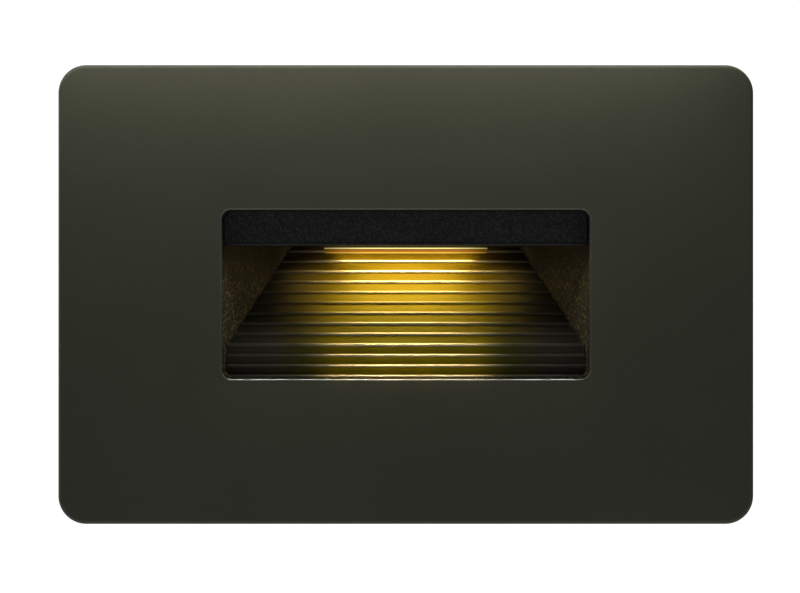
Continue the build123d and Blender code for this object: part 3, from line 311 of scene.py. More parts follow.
def cross_head(head_radius, head_height):
    """Screw head: height = head height, with the rim rounded as a quarter ellipse, less the depth
    of a cross of two bars, each a product of two smooth steps."""
    columns, rings = 96, 21
    rim, cross_depth, flat = (share * head_height for share in (0.4, 0.5, 0.9))
    half_length, half_width, soft = (share * head_radius for share in (0.55, 0.16, 0.08))
    drop, run = fillet_steps(8)
    radius = np.concatenate([[0, head_radius], head_radius - rim * drop,
                             np.linspace(head_radius - rim, 0, rings + 1)[1:]])
    height = np.concatenate([[0, 0], head_height - rim * run, np.full(rings, head_height)])
    angle = whole_turn(columns)
    a, b = radius[:, None] * np.cos(angle), radius[:, None] * np.sin(angle)

    def bar(along, across):
        """1 inside a bar, 0 outside, with a soft edge."""
        return (np.clip((half_length - np.abs(along)) / soft + 0.5, 0, 1)
                * np.clip((half_width - np.abs(across)) / soft + 0.5, 0, 1))

    on_top = (height > flat)[:, None]
    cut = np.maximum(bar(a, b), bar(b, a)) * on_top
    return surface(a, b, height[:, None] - cross_depth * cut)


def threaded_shank(length, radius, pitch, neck_radius=0.0, neck_length=0.0):
    """Screw shank below its head: radius less a triangle wave of (height / pitch + angle / turn),
    with a blunt point, and a plain neck where one is given. Its first and last rows are poles."""
    columns, rows_a_turn = 28, 6
    tip_share, groove_share = 0.55, 0.18
    rows = int(length / pitch * rows_a_turn) + 2
    height = np.linspace(0, -length, rows)[:, None]
    angle = whole_turn(columns)
    phase = (height / pitch + angle / FULL_TURN) % 1.0
    groove = groove_share * pitch * 2 * (1 - np.abs(2 * phase - 1))
    point = np.clip((length + height) / radius, 0, 1)
    shape = radius * (tip_share + (1 - tip_share) * point) - groove
    if neck_radius:
        plain = np.clip((-height - neck_length) / (0.5 * pitch), 0, 1)
        shape = neck_radius + (shape - neck_radius) * plain
    else:
        shape[0] = radius
    ends = ((1, 1), (0, 0))
    shape, height = np.pad(shape, ends), np.pad(height, ends, "edge")
    return surface(shape * np.cos(angle), shape * np.sin(angle), height)


def make_screws(node, axis, slot, *lengths):
    """All the like screws of one node, whose lengths come in millimetres."""
    radius, head_radius, head_height, pitch, *neck = (value * MM for value in lengths)
    places, along, low, high = screw_places(node, axis, head_radius)
    places[:, along] = high - head_height if axis[0] == "+" else low + head_height
    parts = (cross_head(head_radius, head_height),
             threaded_shank(high - low - head_height, radius, pitch, *neck))
    shells = [turned_to(part, axis, place) for place in places for part in parts]
    put_piece(node + "_made", shells, "fixture", node, slot)


# ---- finishes
def rgba(value):
    """A colour with full cover."""
    return (*value, 1.0)


class Nodes:
    """Short calls for building a finish's node tree."""

    def __init__(self, name):
        self.material = bpy.data.materials.new(name)
        self.material.use_nodes = True
        self.tree = self.material.node_tree
        self.shader = self.tree.nodes["Principled BSDF"]
        self.place = self.tree.nodes.new("ShaderNodeTexCoord").outputs["Object"]

    def add(self, kind, **values):
        """Adds a node, sets its attributes, and links or sets its sockets."""
        node = self.tree.nodes.new(kind)
        for key, value in values.items():
            if hasattr(node, key):
                setattr(node, key, value)
            else:
                self.feed(node.inputs[key.replace("_", " ")], value)
        return node

    def feed(self, socket, value):
        """Links a socket, or sets its own value."""
        if isinstance(value, bpy.types.NodeSocket):
            self.tree.links.new(value, socket)
        else:
            socket.default_value = rgba(value) if socket.type == "RGBA" else value

    def parts(self, vector):
        """X, Y and Z of a vector."""
        return self.add("ShaderNodeSeparateXYZ", Vector=vector).outputs

    def noise(self, scale, detail=3.0, roughness=0.55):
        """Soft cloudy pattern, from 0 to 1."""
        return self.add("ShaderNodeTexNoise", Vector=self.place, Scale=scale, Detail=detail,
                        Roughness=roughness).outputs["Fac"]

    def cells(self, scale):
        """Rounded grains, from 0 to 1."""
        return self.add("ShaderNodeTexVoronoi", Vector=self.place, Scale=scale).outputs["Distance"]

    def lines(self, scale, direction):
        """Straight lines across one axis, from 0 to 1."""
        return self.add("ShaderNodeTexWave", Vector=self.place, Scale=scale,
                        bands_direction=direction).outputs["Fac"]

    def marked(self, name):
        """A number that the mesh carries on its faces."""
        return self.add("ShaderNodeAttribute", attribute_name=name).outputs["Fac"]

    def spread(self, value, span=(0.3, 0.7), to=(0.0, 1.0)):
        """Maps a value's span to another one, and holds it at both ends."""
        return self.add("ShaderNodeMapRange", Value=value, From_Min=span[0], From_Max=span[1],
                        To_Min=to[0], To_Max=to[1]).outputs["Result"]

    def blend(self, share, first, second):
        """Mixes two colours."""
        node = self.add("ShaderNodeMix", data_type="RGBA")
        self.feed(node.inputs[0], share)
        self.feed(node.inputs[6], first)
        self.feed(node.inputs[7], second)
        return node.outputs[2]

    def spread_from(self, share, first, second):
        """Goes from one number to another by a share."""
        node = self.add("ShaderNodeMix", data_type="FLOAT")
        for socket, value in zip(node.inputs[:1] + node.inputs[2:4], (share, first, second)):
            self.feed(socket, value)
        return node.outputs[0]

    def reckon(self, operation, first, second=0.0):
        """One step of arithmetic on one or two numbers."""
        node = self.add("ShaderNodeMath", operation=operation)
        self.feed(node.inputs[0], first)
        self.feed(node.inputs[1], second)
        return node.outputs[0]

    def relief(self, height, depth, **under):
        """Bump of a depth in metres, over another bump's Normal where one is given."""
        return self.add("ShaderNodeBump", Height=height, Distance=depth, **under).outputs["Normal"]

    def finished(self, **values):
        """The finish, once the shader's own sockets are linked or set."""
        for key, value in values.items():
            self.feed(self.shader.inputs[key.replace("_", " ")], value)
        return self.material


def toned(value, share):
    """A colour made lighter or darker by a share."""
    return tuple(min(1.0, share * part) for part in value)


def two_toned(name, first, second, patch, rough, grain_scale, grain_depth, grain="clouds",
              metal=0.0):
    """Two-toned finish with a fine relief: colour and roughness vary with a cloudy pattern.

    The grain is clouds, cells, or lines across the axis that is named.
    """
    nodes = Nodes(name)
    cloud = nodes.noise(patch, detail=4.0)
    if grain == "clouds":
        pattern = nodes.noise(grain_scale, detail=5.0)
    elif grain == "cells":
        pattern = nodes.cells(grain_scale)
    else:
        pattern = nodes.lines(grain_scale, grain)
    return nodes.finished(
        Base_Color=nodes.blend(nodes.spread(cloud), first, second), Metallic=metal,
        Roughness=nodes.spread(cloud, to=rough), Normal=nodes.relief(pattern, grain_depth * MM))


def bronze_paint():
    """Satin bronze paint: faint clouds in colour and gloss over a fine orange peel, and paler,
    glossier metal at the marked window edge, partly rubbed bare and partly a painted highlight."""
    colours = settings().colours
    nodes = Nodes("bronze_paint")
    cloud = nodes.noise(22.0, detail=3.0)
    fleck = nodes.noise(2600.0, detail=2.0)
    tone = nodes.blend(nodes.spread(cloud, (0.25, 0.75)), colours.paint, colours.paint_light)
    tone = nodes.blend(nodes.spread(fleck, (0.45, 0.75), (0.0, 0.10)), tone, (0.12, 0.11, 0.08))
    # Paler window edge: partly rubbed bare, partly a painted highlight.
    edge = nodes.marked("edge")
    peel = nodes.relief(nodes.noise(700.0, detail=2.0), 0.012 * MM)
    return nodes.finished(
        Base_Color=nodes.blend(edge, tone, colours.edge), Specular_IOR_Level=0.32,
        Roughness=nodes.spread_from(edge, nodes.spread(cloud, to=(0.38, 0.45)), 0.28),
        Metallic=nodes.spread_from(edge, 0.0, 0.85),
        Normal=nodes.relief(nodes.noise(5200.0, detail=3.0), 0.003 * MM, Normal=peel))


def baffle_bronze():
    """Dark metal with fine lines along the ribs, and the lamp's light painted into its colour:
    gold near the lamp, paler gold near the lip, black towards the ends. The beads are paler
    metal, partly rubbed bare and partly a painted highlight: most in the middle, and more at the
    top and the bottom than half way up."""
    colours = settings().colours
    nodes = Nodes("baffle_bronze")
    x, _, z = nodes.parts(nodes.place)
    stretch = nodes.add("ShaderNodeMapping", Vector=nodes.place, Scale=(0.05, 1.0, 1.0))
    nodes.place = stretch.outputs["Vector"]
    streak = nodes.noise(2400.0, detail=3.0)
    # Painted light: paler gold towards the lip, gold near the lamp, black towards the ends.
    rise = nodes.spread(z, (BAFFLE_LOW.z, BAFFLE_HIGH.z))
    tone = nodes.blend(rise, colours.baffle_lip_painted_light, colours.baffle)
    aside = nodes.reckon("ABSOLUTE", x)
    tone = nodes.blend(nodes.spread(aside, (13.0 * MM, 23.0 * MM)), tone, colours.baffle_ends_painted_shade)
    flank = nodes.blend(nodes.spread(streak), nodes.blend(0.12, tone, BLACK), tone)
    # The beads' paler metal is partly rubbed bare and partly a painted highlight of the lamp.
    from_middle = nodes.reckon("ABSOLUTE", nodes.reckon("ADD", z, 1.0 * MM))
    wear_and_highlight = nodes.reckon("MULTIPLY", nodes.spread(aside, (8.0 * MM, 18.0 * MM), (1.0, 0.15)),
                        nodes.spread(from_middle, (0.5 * MM, 5.0 * MM), (0.22, 1.0)))
    bead_wear_and_highlight = nodes.reckon("MULTIPLY", nodes.marked("bead"), wear_and_highlight)
    return nodes.finished(
        Base_Color=nodes.blend(bead_wear_and_highlight, flank, colours.ridge), Specular_IOR_Level=0.06,
        Metallic=nodes.spread_from(bead_wear_and_highlight, 0.82, 1.0),
        Roughness=nodes.spread_from(bead_wear_and_highlight, nodes.spread(streak, to=(0.66, 0.70)), 0.42))


def lit_lens():
    """Frosted lens, lit from inside: its side shows the lit layers from lower edge to flange,
    which fade towards its ends, with an unlit band of painted shade next to the hood, and its
    underside shines evenly."""
    colours = settings().colours
    nodes = Nodes("lit_lens")
    x, _, z = nodes.parts(nodes.place)
    facing = nodes.parts(nodes.add("ShaderNodeNewGeometry").outputs["Normal"])
    down = nodes.spread(facing["Z"], (-0.98, -0.6), (1.0, 0.0))
    middle = nodes.spread(nodes.reckon("ABSOLUTE", x), (7.0 * MM, 14.0 * MM), (1.0, 0.25))
    body, band = colours.lens_body, (1.0, 1.0, 0.36)
    # The last two layers, next to the hood, are painted shade under the hood's edge.
    layers = ((0.0, (0.60, 0.28, 0.01)), (0.12, (0.42, 0.17, 0.0)), (0.28, (0.26, 0.09, 0.0)),
              (0.42, body), (0.54, body), (0.61, band), (0.69, band),
              (0.75, (0.02, 0.012, 0.005)), (1.0, BLACK))
    ramp = nodes.add("ShaderNodeValToRGB", Fac=nodes.spread(z, (LENS_LOW.z, HOOD_LOW.z)))
    stops = ramp.color_ramp.elements
    for share, _ in layers[1:-1]:
        stops.new(share)
    for stop, (_, tone) in zip(stops, layers):
        stop.color = rgba(tone)
    frost = nodes.noise(2500.0, detail=4.0)
    return nodes.finished(
        Emission_Color=nodes.blend(down, ramp.outputs["Color"], colours.lens_light),
        Emission_Strength=nodes.spread(middle, (0.25, 1.0), (0.2, 1.1)),
        Base_Color=nodes.blend(frost, (0.12, 0.06, 0.012), (0.18, 0.10, 0.02)),
        Specular_IOR_Level=0.25, Roughness=nodes.spread(frost, to=(0.35, 0.5)),
        Normal=nodes.relief(frost, 0.01 * MM))


def cast_black():
    """Black coat on the casting, with a few paler grains, and painted shade that darkens it towards
    the hood.
    """
    casting = settings().colours.casting
    nodes = Nodes("cast_black")
    z = nodes.parts(nodes.place)["Z"]
    grain = nodes.noise(1900.0, detail=3.0, roughness=0.7)
    tone = nodes.blend(nodes.spread(grain, (0.52, 0.78)), casting, toned(casting, 13.0))
    # Painted shade: the walls are blended towards black under the hood.
    painted_hood_shade = nodes.spread(z, (1.5 * MM, 6.0 * MM), (0.0, 0.75))
    return nodes.finished(
        Base_Color=nodes.blend(painted_hood_shade, tone, BLACK), Specular_IOR_Level=0.35,
        Roughness=nodes.spread(nodes.noise(120.0), to=(0.5, 0.62)),
        Normal=nodes.relief(grain, 0.03 * MM))


def moulded_black():
    """Black moulded plastic of the hood, with a fine paler speckle."""
    nodes = Nodes("moulded_black")
    grain = nodes.noise(3600.0, detail=4.0, roughness=0.7)
    tone = nodes.blend(nodes.spread(grain, (0.48, 0.78)), (0.0105, 0.0115, 0.0112),
                       (0.085, 0.090, 0.096))
    return nodes.finished(
        Base_Color=tone, Specular_IOR_Level=0.3, Normal=nodes.relief(grain, 0.012 * MM),
        Roughness=nodes.spread(grain, to=(0.42, 0.58)))


# Slot, first colour (its own, or the name of one above), second colour (or its share of the
# first), cloud patches per metre, span of roughness, grains per metre, their depth in
# millimetres, then the kind of grain and the share of metal where these aren't clouds and none.
TWO_TONED = (
    ("gasket_foam", "rubber", 1.9, 900.0, (0.85, 0.95), 1800.0, 0.15, "cells"),
    ("plated_steel", "steel", 0.78, 90.0, (0.28, 0.42), 700.0, 0.004, "X", 1.0),
    ("grommet_rubber", "rubber", 1.6, 300.0, (0.6, 0.75), 2200.0, 0.02),
    ("screw_steel", "steel", 0.7, 500.0, (0.22, 0.38), 3000.0, 0.004, "clouds", 1.0),
    ("black_screw", (0.02, 0.02, 0.02), (0.05, 0.05, 0.05), 500.0, (0.35, 0.5), 3000.0, 0.004,
     "clouds", 0.6),
    ("spreader_metal", (0.78, 0.78, 0.79), (0.62, 0.62, 0.64), 80.0, (0.3, 0.45), 900.0, 0.004, "Y",
     1.0),
    ("thermal_pad", (0.35, 0.37, 0.40), (0.45, 0.47, 0.50), 400.0, (0.8, 0.9), 2600.0, 0.02),
    ("led_board", (0.75, 0.75, 0.72), (0.84, 0.84, 0.81), 200.0, (0.35, 0.5), 2500.0, 0.006),
    ("led_emitter", (0.85, 0.62, 0.10), (0.95, 0.78, 0.22), 900.0, (0.25, 0.4), 4000.0, 0.006),
    ("lead_red", (0.45, 0.02, 0.015), (0.55, 0.03, 0.02), 500.0, (0.35, 0.5), 2200.0, 0.006),
    ("lead_black", (0.015, 0.015, 0.016), (0.03, 0.03, 0.032), 500.0, (0.35, 0.5), 2200.0, 0.006),
    ("driver_case", (0.030, 0.030, 0.032), (0.045, 0.045, 0.047), 60.0, (0.5, 0.62), 2400.0, 0.02,
     "cells"),
    ("circuit_board", "circuit", 1.5, 160.0, (0.25, 0.4), 260.0, 0.01, "X"),
    ("terminal_green", (0.02, 0.22, 0.07), (0.03, 0.28, 0.09), 300.0, (0.4, 0.5), 2200.0, 0.01),
    ("ferrite", (0.035, 0.034, 0.036), (0.06, 0.058, 0.06), 500.0, (0.55, 0.7), 3000.0, 0.015,
     "cells"),
    ("winding_tape", (0.62, 0.42, 0.04), (0.70, 0.50, 0.07), 200.0, (0.2, 0.3), 300.0, 0.03, "Z"),
    ("can_sleeve", (0.02, 0.03, 0.10), (0.03, 0.045, 0.15), 200.0, (0.25, 0.35), 1500.0, 0.008),
    ("film_box", (0.50, 0.25, 0.03), (0.58, 0.31, 0.05), 200.0, (0.4, 0.5), 2000.0, 0.01),
    ("chip_black", (0.02, 0.02, 0.021), (0.035, 0.035, 0.036), 600.0, (0.55, 0.65), 3500.0, 0.01),
    ("ground_green", (0.02, 0.20, 0.05), (0.03, 0.27, 0.08), 400.0, (0.3, 0.42), 2500.0, 0.005,
     "clouds", 0.7),
    ("floor_paper", (0.80, 0.80, 0.79), (0.84, 0.84, 0.83), 6.0, (0.7, 0.85), 400.0, 0.05),
)
FINISHES = {}


def make_finishes():
    """Makes every finish of the record's material slots, and the floor's."""
    FINISHES.update(bronze_paint=bronze_paint(), black_cast=cast_black(), lens_frost=lit_lens(),
                    black_baffle=baffle_bronze(), black_plastic=moulded_black())
    for slot, first, second, *rest in TWO_TONED:
        if isinstance(first, str):
            first = getattr(settings().colours, first)
        if isinstance(second, float):
            second = toned(first, second)
        FINISHES[slot] = two_toned(slot, first, second, *rest)


def finish_of(slot):
    """The finish of a record's slot."""
    if slot not in FINISHES:
        raise RuntimeError(f"the finish {slot} has not been made yet")
    return FINISHES[slot]


# ---- pieces
def faceplate_shell(sizes):
    """Faceplate: one closed section carried round the plate.

    Each row of the section is a rounded rectangle (half width, half height, corner radius) at a
    depth: rim back, outer side, rounded front edge, front, rounded window edge, window wall, back
    and inner side of the rim. The first row follows the last.
    """
    front, back = PLATE_LOW.y, PLATE_LOW.y + sizes.plate_wall
    rim_back = PLATE_LOW.y + sizes.rim_depth
    drop, run = fillet_steps(9)
    nick = 0.25 * MM
    inset = np.concatenate([nick * run, sizes.plate_edge * drop])
    side = (PLATE_HIGH.x - inset, PLATE_HIGH.z - inset, sizes.plate_corner - inset,
            np.concatenate([rim_back - nick * drop, front + sizes.plate_edge * run]))
    grow = np.append(sizes.window_edge * run, 0.0)
    window = (sizes.window_width / 2 + grow, sizes.window_height / 2 + grow,
              sizes.window_corner + grow, np.append(front + sizes.window_edge * drop, back))
    flat = np.zeros(2)
    rim = (PLATE_HIGH.x - sizes.plate_rim + flat, PLATE_HIGH.z - sizes.plate_rim + flat,
           sizes.inner_corner + flat, np.array([back, rim_back]))
    half_w, half_h, radius, depth = (np.concatenate(part) for part in zip(side, window, rim))
    a, b = rounded_outlines(half_w, half_h, radius, arc=16)
    return surface(a, depth[:, None], b, loop_rows=True)


def peg_shells(sizes):
    """Pegs: a turned boss and pin for each grommet, rooted in the plate's back."""
    grommet_gap, chamfer, soft = 0.6 * MM, 0.5 * MM, 0.3 * MM
    boss, peg, tip = sizes.boss_radius, sizes.peg_radius, PLATE_HIGH.y
    root, boss_end = PLATE_LOW.y + sizes.plate_wall / 2, GROMMET_LOW.y - grommet_gap
    drop, run = fillet_steps(5)
    radius = np.concatenate([[0, boss], boss - soft * drop, [peg, peg, peg - chamfer, 0]])
    height = np.concatenate([[root, root], boss_end - soft * run,
                             [boss_end, tip - chamfer, tip, tip]])
    pin = lathe(radius, height, columns=48)
    x, z = GROMMET_HIGH.x - sizes.grommet_lip, GROMMET_HIGH.z - sizes.grommet_lip
    return [turned_to(pin, "+Y", (a * x, 0, b * z)) for a in (-1, 1) for b in (-1, 1)]


def rounded_corners(points, radii):
    """Closed outline with its corners rounded.

    Each corner P with a radius becomes the curve (1-s)^2 (P-a) + 2s(1-s) P + s^2 (P+b), where a
    and b reach along the corner's two sides by radius times the tangent of half the turn, but by
    less than half of the shorter side.
    """
    steps, sharpest_turn, most_of_side = 7, 2.6, 0.45
    before, after = points - np.roll(points, 1, 0), np.roll(points, -1, 0) - points
    lengths = [np.linalg.norm(side, axis=1, keepdims=True) for side in (before, after)]
    before, after = before / lengths[0], after / lengths[1]
    turn = np.arccos(np.clip((before * after).sum(1), -1, 1))
    reach = (radii * np.tan(np.minimum(turn, sharpest_turn) / 2))[:, None]
    reach = np.minimum(reach, most_of_side * np.minimum(*lengths))
    s = np.linspace(0, 1, steps)[None, :, None]
    start, corner, end = ((points - before * reach)[:, None], points[:, None],
                          (points + after * reach)[:, None])
    return ((1 - s) ** 2 * start + 2 * s * (1 - s) * corner + s ** 2 * end).reshape(-1, 2)


def divided(points, step):
    """Closed outline with each side cut into equal parts no longer than a step."""
    side = np.roll(points, -1, 0) - points
    count = np.maximum(np.ceil(np.linalg.norm(side, axis=1) / step).astype(int), 1)
    start = np.repeat(np.arange(len(points)), count)
    place = np.arange(count.sum()) - np.repeat(np.cumsum(count) - count, count)
    return points[start] + (place / count[start])[:, None] * side[start]


def outline_normals(points):
    """Outward unit normals of a closed clockwise outline: its chord turned a quarter turn."""
    chord = np.roll(points, -1, 0) - np.roll(points, 1, 0)
    chord /= np.maximum(np.linalg.norm(chord, axis=1, keepdims=True), SAME_POINT)
    return np.stack([-chord[:, 1], chord[:, 0]], -1)


def bead_centres(sizes):
    """Centres of the beads, as (depth, height): first those of the lip, then those of the slope.

    The lip's stand one pitch apart below its top edge. The slope's stand one pitch up and one pitch
    over the tangent of the slope back from each other.
    """
    front, bottom, top = BAFFLE_LOW.y, BAFFLE_LOW.z, BAFFLE_HIGH.z
    pitch, radius, rise = sizes.rib_pitch, sizes.ridge_bead, math.tan(sizes.slope)
    lip_top = bottom + sizes.lip_height
    down = np.arange(int(sizes.lip_height / pitch), -1, -1)
    lip = np.stack([np.full(len(down), front + radius), lip_top - pitch * down - radius], -1)
    step = 1 + np.arange(int((top - lip_top) / pitch))
    slope = np.stack([front + sizes.lip_ledge + step * pitch / rise - sizes.rib_ledge,
                      lip_top + step * pitch - radius], -1)
    return lip, slope


def baffle_outline(sizes):
    """Side view of the ribbed baffle, as (depth, height) points and each corner's rounding.

    Each rib is a flank from its foot to its bead, swelling by 4 s (1 - s) times the bulge, then the
    bead's arc from 50 degrees below the front to its top, then a level ledge to the next foot. They
    run up the lip and then up the slope, and the outline comes back behind the slope and the lip.
    """
    front, bottom, top, back = BAFFLE_LOW.y, BAFFLE_LOW.z, BAFFLE_HIGH.z, BAFFLE_HIGH.y
    rear_rounding = 0.2 * MM
    pitch, radius, rise = sizes.rib_pitch, sizes.ridge_bead, math.tan(sizes.slope)
    lip_top = bottom + sizes.lip_height
    lip, slope = bead_centres(sizes)
    centres = np.concatenate([lip, slope])
    slope_feet = slope + np.array([sizes.rib_ledge - pitch / rise, radius - pitch])
    lip_feet = lip + np.array([sizes.lip_tooth - radius, radius - pitch])
    feet = np.concatenate([lip_feet, slope_feet])
    feet[:, 1] = np.maximum(feet[:, 1], bottom)

    turn = np.radians(np.linspace(-50, 90, 9))[None, :]
    arc = centres[:, None] + radius * np.stack([-np.cos(turn), np.sin(turn)], -1)
    s = np.array([0.0, 0.25, 0.5, 0.75])[None, :, None]
    run = arc[:, :1] - feet[:, None]
    outward = np.stack([-run[..., 1], run[..., 0]], -1) / np.linalg.norm(run, axis=2, keepdims=True)
    swell = 4 * s * (1 - s) * sizes.rib_bulge
    flank = feet[:, None] + s * run + swell * outward
    ribs = np.concatenate([flank, arc], 1).reshape(-1, 2)
    ribs[:, 1] = np.maximum(ribs[:, 1], bottom)

    last = slope_feet[-1] + np.array([pitch / rise, pitch])
    end = last + (top - last[1]) * np.array([(pitch / rise - sizes.rib_ledge) / pitch, 1])
    inner, foot_top = front + sizes.lip_wall, bottom + sizes.foot_height
    inner_top = lip_top + (inner - front - sizes.lip_ledge - sizes.baffle_wall) * rise
    rear = np.array([(back, top), (inner, inner_top), (inner, foot_top),
                     (front + sizes.foot_depth, foot_top), (front + sizes.foot_depth, bottom)])
    points = np.concatenate([ribs, [last, end], rear])
    radii = np.zeros(len(points))
    radii[-1 - len(rear):] = rear_rounding
    return points, radii


def ribbed_baffle_shell(sizes):
    """Ribbed baffle: its side view carried from end to end.

    At depth y the half width is the front's less (y - front) tan(splay), less the rounding of the
    lower corners. At each end the outline shrinks along its normals by e (1 - sin t) while its
    place moves out by e cos t, which rounds the end edges.
    """
    step, plain_share, plain_rings = 0.4 * MM, 0.7, 5
    outline = rounded_corners(*baffle_outline(sizes))
    outline = outline[np.linalg.norm(outline - np.roll(outline, 1, 0), axis=1) > SAME_POINT]
    outline = divided(outline, step)
    normal = outline_normals(outline)
    depth, height = outline[:, :1], outline[:, 1:]
    corner = sizes.baffle_corner
    below = np.clip(corner - (height - BAFFLE_LOW.z), 0, corner)
    half = (BAFFLE_HIGH.x - (depth - BAFFLE_LOW.y) * math.tan(sizes.splay)
            - corner + np.sqrt(corner ** 2 - below ** 2))
    back, shrink = (sizes.end_rounding * share for share in fillet_steps(5))
    x = np.concatenate([-(half - back), half * np.linspace(-plain_share, plain_share, plain_rings),
                        half - back[::-1]], 1)
    shrink = np.concatenate([shrink, np.zeros(plain_rings), shrink[::-1]])
    y = depth - normal[:, :1] * shrink
    z = height - normal[:, 1:] * shrink
    points, quads = surface(x, y, z, loop_rows=True, loop_columns=False)
    rows, columns = x.shape
    first_end = np.arange(rows) * columns
    caps = [first_end.tolist(), (first_end[::-1] + columns - 1).tolist()]
    return points, quads.tolist() + caps


def baffle_boss_shells():
    """Two turned bosses on the baffle's foot, round its screws: foot, outer wall, rounded top and
    bore, whose last ring joins the first."""
    low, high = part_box("baffle_screws")
    outer, bore, soft, root = 2.4 * MM, 1.3 * MM, 0.3 * MM, 0.2 * MM
    bottom, screw_head = BAFFLE_LOW.z + root, SMALL_SCREW[1] * MM
    drop, run = fillet_steps(5)
    radius = np.concatenate([[bore, outer], outer - soft * drop, [bore]])
    level = np.concatenate([[bottom, bottom], high.z - soft * run, [high.z]])
    boss = lathe(radius, level, columns=40, closed=True)
    x, y = high.x - screw_head, (low.y + high.y) / 2
    return [turned_to(boss, "+Z", (side * x, y, 0)) for side in (-1, 1)]


def lens_shell(sizes):
    """Lens: racetracks stacked from the lower pole line, round the lower edge, up the side and
    over the flange to the upper pole line. Each is (half length, half width) with round ends."""
    edge, flange, flange_height, soft = sizes.lens_edge, sizes.lens_flange, 0.7 * MM, 0.1 * MM
    half_l, half_w = LENS_HIGH.x - flange, (LENS_HIGH.y - LENS_LOW.y) / 2 - flange
    seat = LENS_HIGH.z - flange_height
    drop, run = fillet_steps(7)
    grow = np.concatenate([[-half_w, -half_w / 2], (-edge * drop)[::-1], [0, flange - soft, flange],
                           flange - soft * drop, [-half_w]])
    level = np.concatenate([[LENS_LOW.z] * 2, (LENS_LOW.z + edge * run)[::-1],
                            [seat, seat, seat + soft], LENS_HIGH.z - soft * run, [LENS_HIGH.z]])
    a, b = rounded_outlines(half_l + grow, half_w + grow, half_w + grow, arc=20)
    return surface(a, b + (LENS_LOW.y + LENS_HIGH.y) / 2, level[:, None])


def hood_bead_shell():
    """Bead along the hood's lower front edge: circles carried from end to end, whose radius falls
    to nothing at the ends as the root of 1 - t squared."""
    radius, end_gap, set_back = 0.26 * MM, 0.15 * MM, 0.16 * MM
    half = HOOD_HIGH.x - end_gap
    swell = np.linspace(-HALF_TURN / 2, 0, 7)
    along = np.concatenate([-half + radius * (1 + np.sin(swell)),
                            half - radius * (1 + np.sin(swell[::-1]))])
    size = radius * np.cos(np.concatenate([swell, swell[::-1]]))[:, None]
    angle = whole_turn(20)
    return surface(along[:, None], HOOD_LOW.y + set_back + size * np.cos(angle),
                   HOOD_LOW.z + radius + size * np.sin(angle))


class STEPLIGHT_OT_finishes(bpy.types.Operator):
    """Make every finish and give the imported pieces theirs."""

    bl_idname = "steplight.finishes"
    bl_label = "Finishes"

    def execute(self, context):
        make_finishes()
        for part in frame["record"]["subparts"]:
            slots = frame["nodes"][part["node"]].data.materials
            slots.clear()
            slots.append(finish_of(part["material_slot"]))
        return {"FINISHED"}


def mark_faces(piece, name, wanted):
    """Marks faces by a test of their middles, given as (count, 3) metres."""
    mesh = piece.data
    middle = np.empty(3 * len(mesh.polygons))
    mesh.polygons.foreach_get("center", middle)
    mark = mesh.attributes.new(name, "FLOAT", "FACE")
    mark.data.foreach_set("value", wanted(middle.reshape(-1, 3)).astype(np.float32))


class STEPLIGHT_OT_faceplate(bpy.types.Operator):
    """Make the faceplate with its window, rim and pegs."""

    bl_idname = "steplight.faceplate"
    bl_label = "Faceplate"

    def execute(self, context):
        sizes = settings().sizes
        piece = put_piece("faceplate_made", [faceplate_shell(sizes), *peg_shells(sizes)],
                          "faceplate", "faceplate", "bronze_paint")

        def by_window(middle):
            """Faces of the window's rounded edge: inside the edge's depth and ring."""
            edge = sizes.window_edge
            ring = np.array([sizes.window_width, sizes.window_height]) / 2 + edge
            inside = (np.abs(middle[:, ::2]) < ring).all(1)
            return inside & (middle[:, 1] < PLATE_LOW.y + edge)

        mark_faces(piece, "edge", by_window)
        return {"FINISHED"}


class STEPLIGHT_OT_ribbed_baffle(bpy.types.Operator):
    """Make the sloping ribbed baffle."""

    bl_idname = "steplight.ribbed_baffle"
    bl_label = "Ribbed baffle"

    def execute(self, context):
        sizes = settings().sizes
        shells = [ribbed_baffle_shell(sizes), *baffle_boss_shells()]
        piece = put_piece("ribbed_baffle_made", shells, "fixture", "ribbed_baffle",
                          "black_baffle", sharp_degrees=35)
        centres = np.concatenate(bead_centres(sizes))

        def paler_metal_mark(middle):
            """How much paler a face's metal is made, partly rubbed bare and partly a painted
            highlight: 1 on a bead, whose centre is a radius away when seen from the side, and more
            on the rounded end edges."""
            slack, end_paling = 1.03, 2.5
            away = np.linalg.norm(middle[:, None, 1:] - centres, axis=2).min(1)
            on_bead = away < slack * sizes.ridge_bead
            half = BAFFLE_HIGH.x - (middle[:, 1] - BAFFLE_LOW.y) * math.tan(sizes.splay)
            at_end = np.abs(middle[:, 0]) > half - sizes.end_rounding
            return np.maximum(on_bead, end_paling * at_end)

        mark_faces(piece, "bead", paler_metal_mark)
        return {"FINISHED"}


class STEPLIGHT_OT_light_bar(bpy.types.Operator):
    """Make the lens of the light bar and the bead of its hood."""

    bl_idname = "steplight.light_bar"
    bl_label = "Light bar"

    def execute(self, context):
        sizes = settings().sizes
        put_piece("lens_made", [lens_shell(sizes)], "fixture", "lens", "lens_frost")
        put_piece("hood_bead", [hood_bead_shell()], "fixture", None, "black_plastic")
        return {"FINISHED"}


class STEPLIGHT_OT_screws(bpy.types.Operator):
    """Make the screws, with their cross recesses and threads."""

    bl_idname = "steplight.screws"
    bl_label = "Screws"

    def execute(self, context):
        for screw in SCREWS:
            make_screws(*screw)
        return {"FINISHED"}


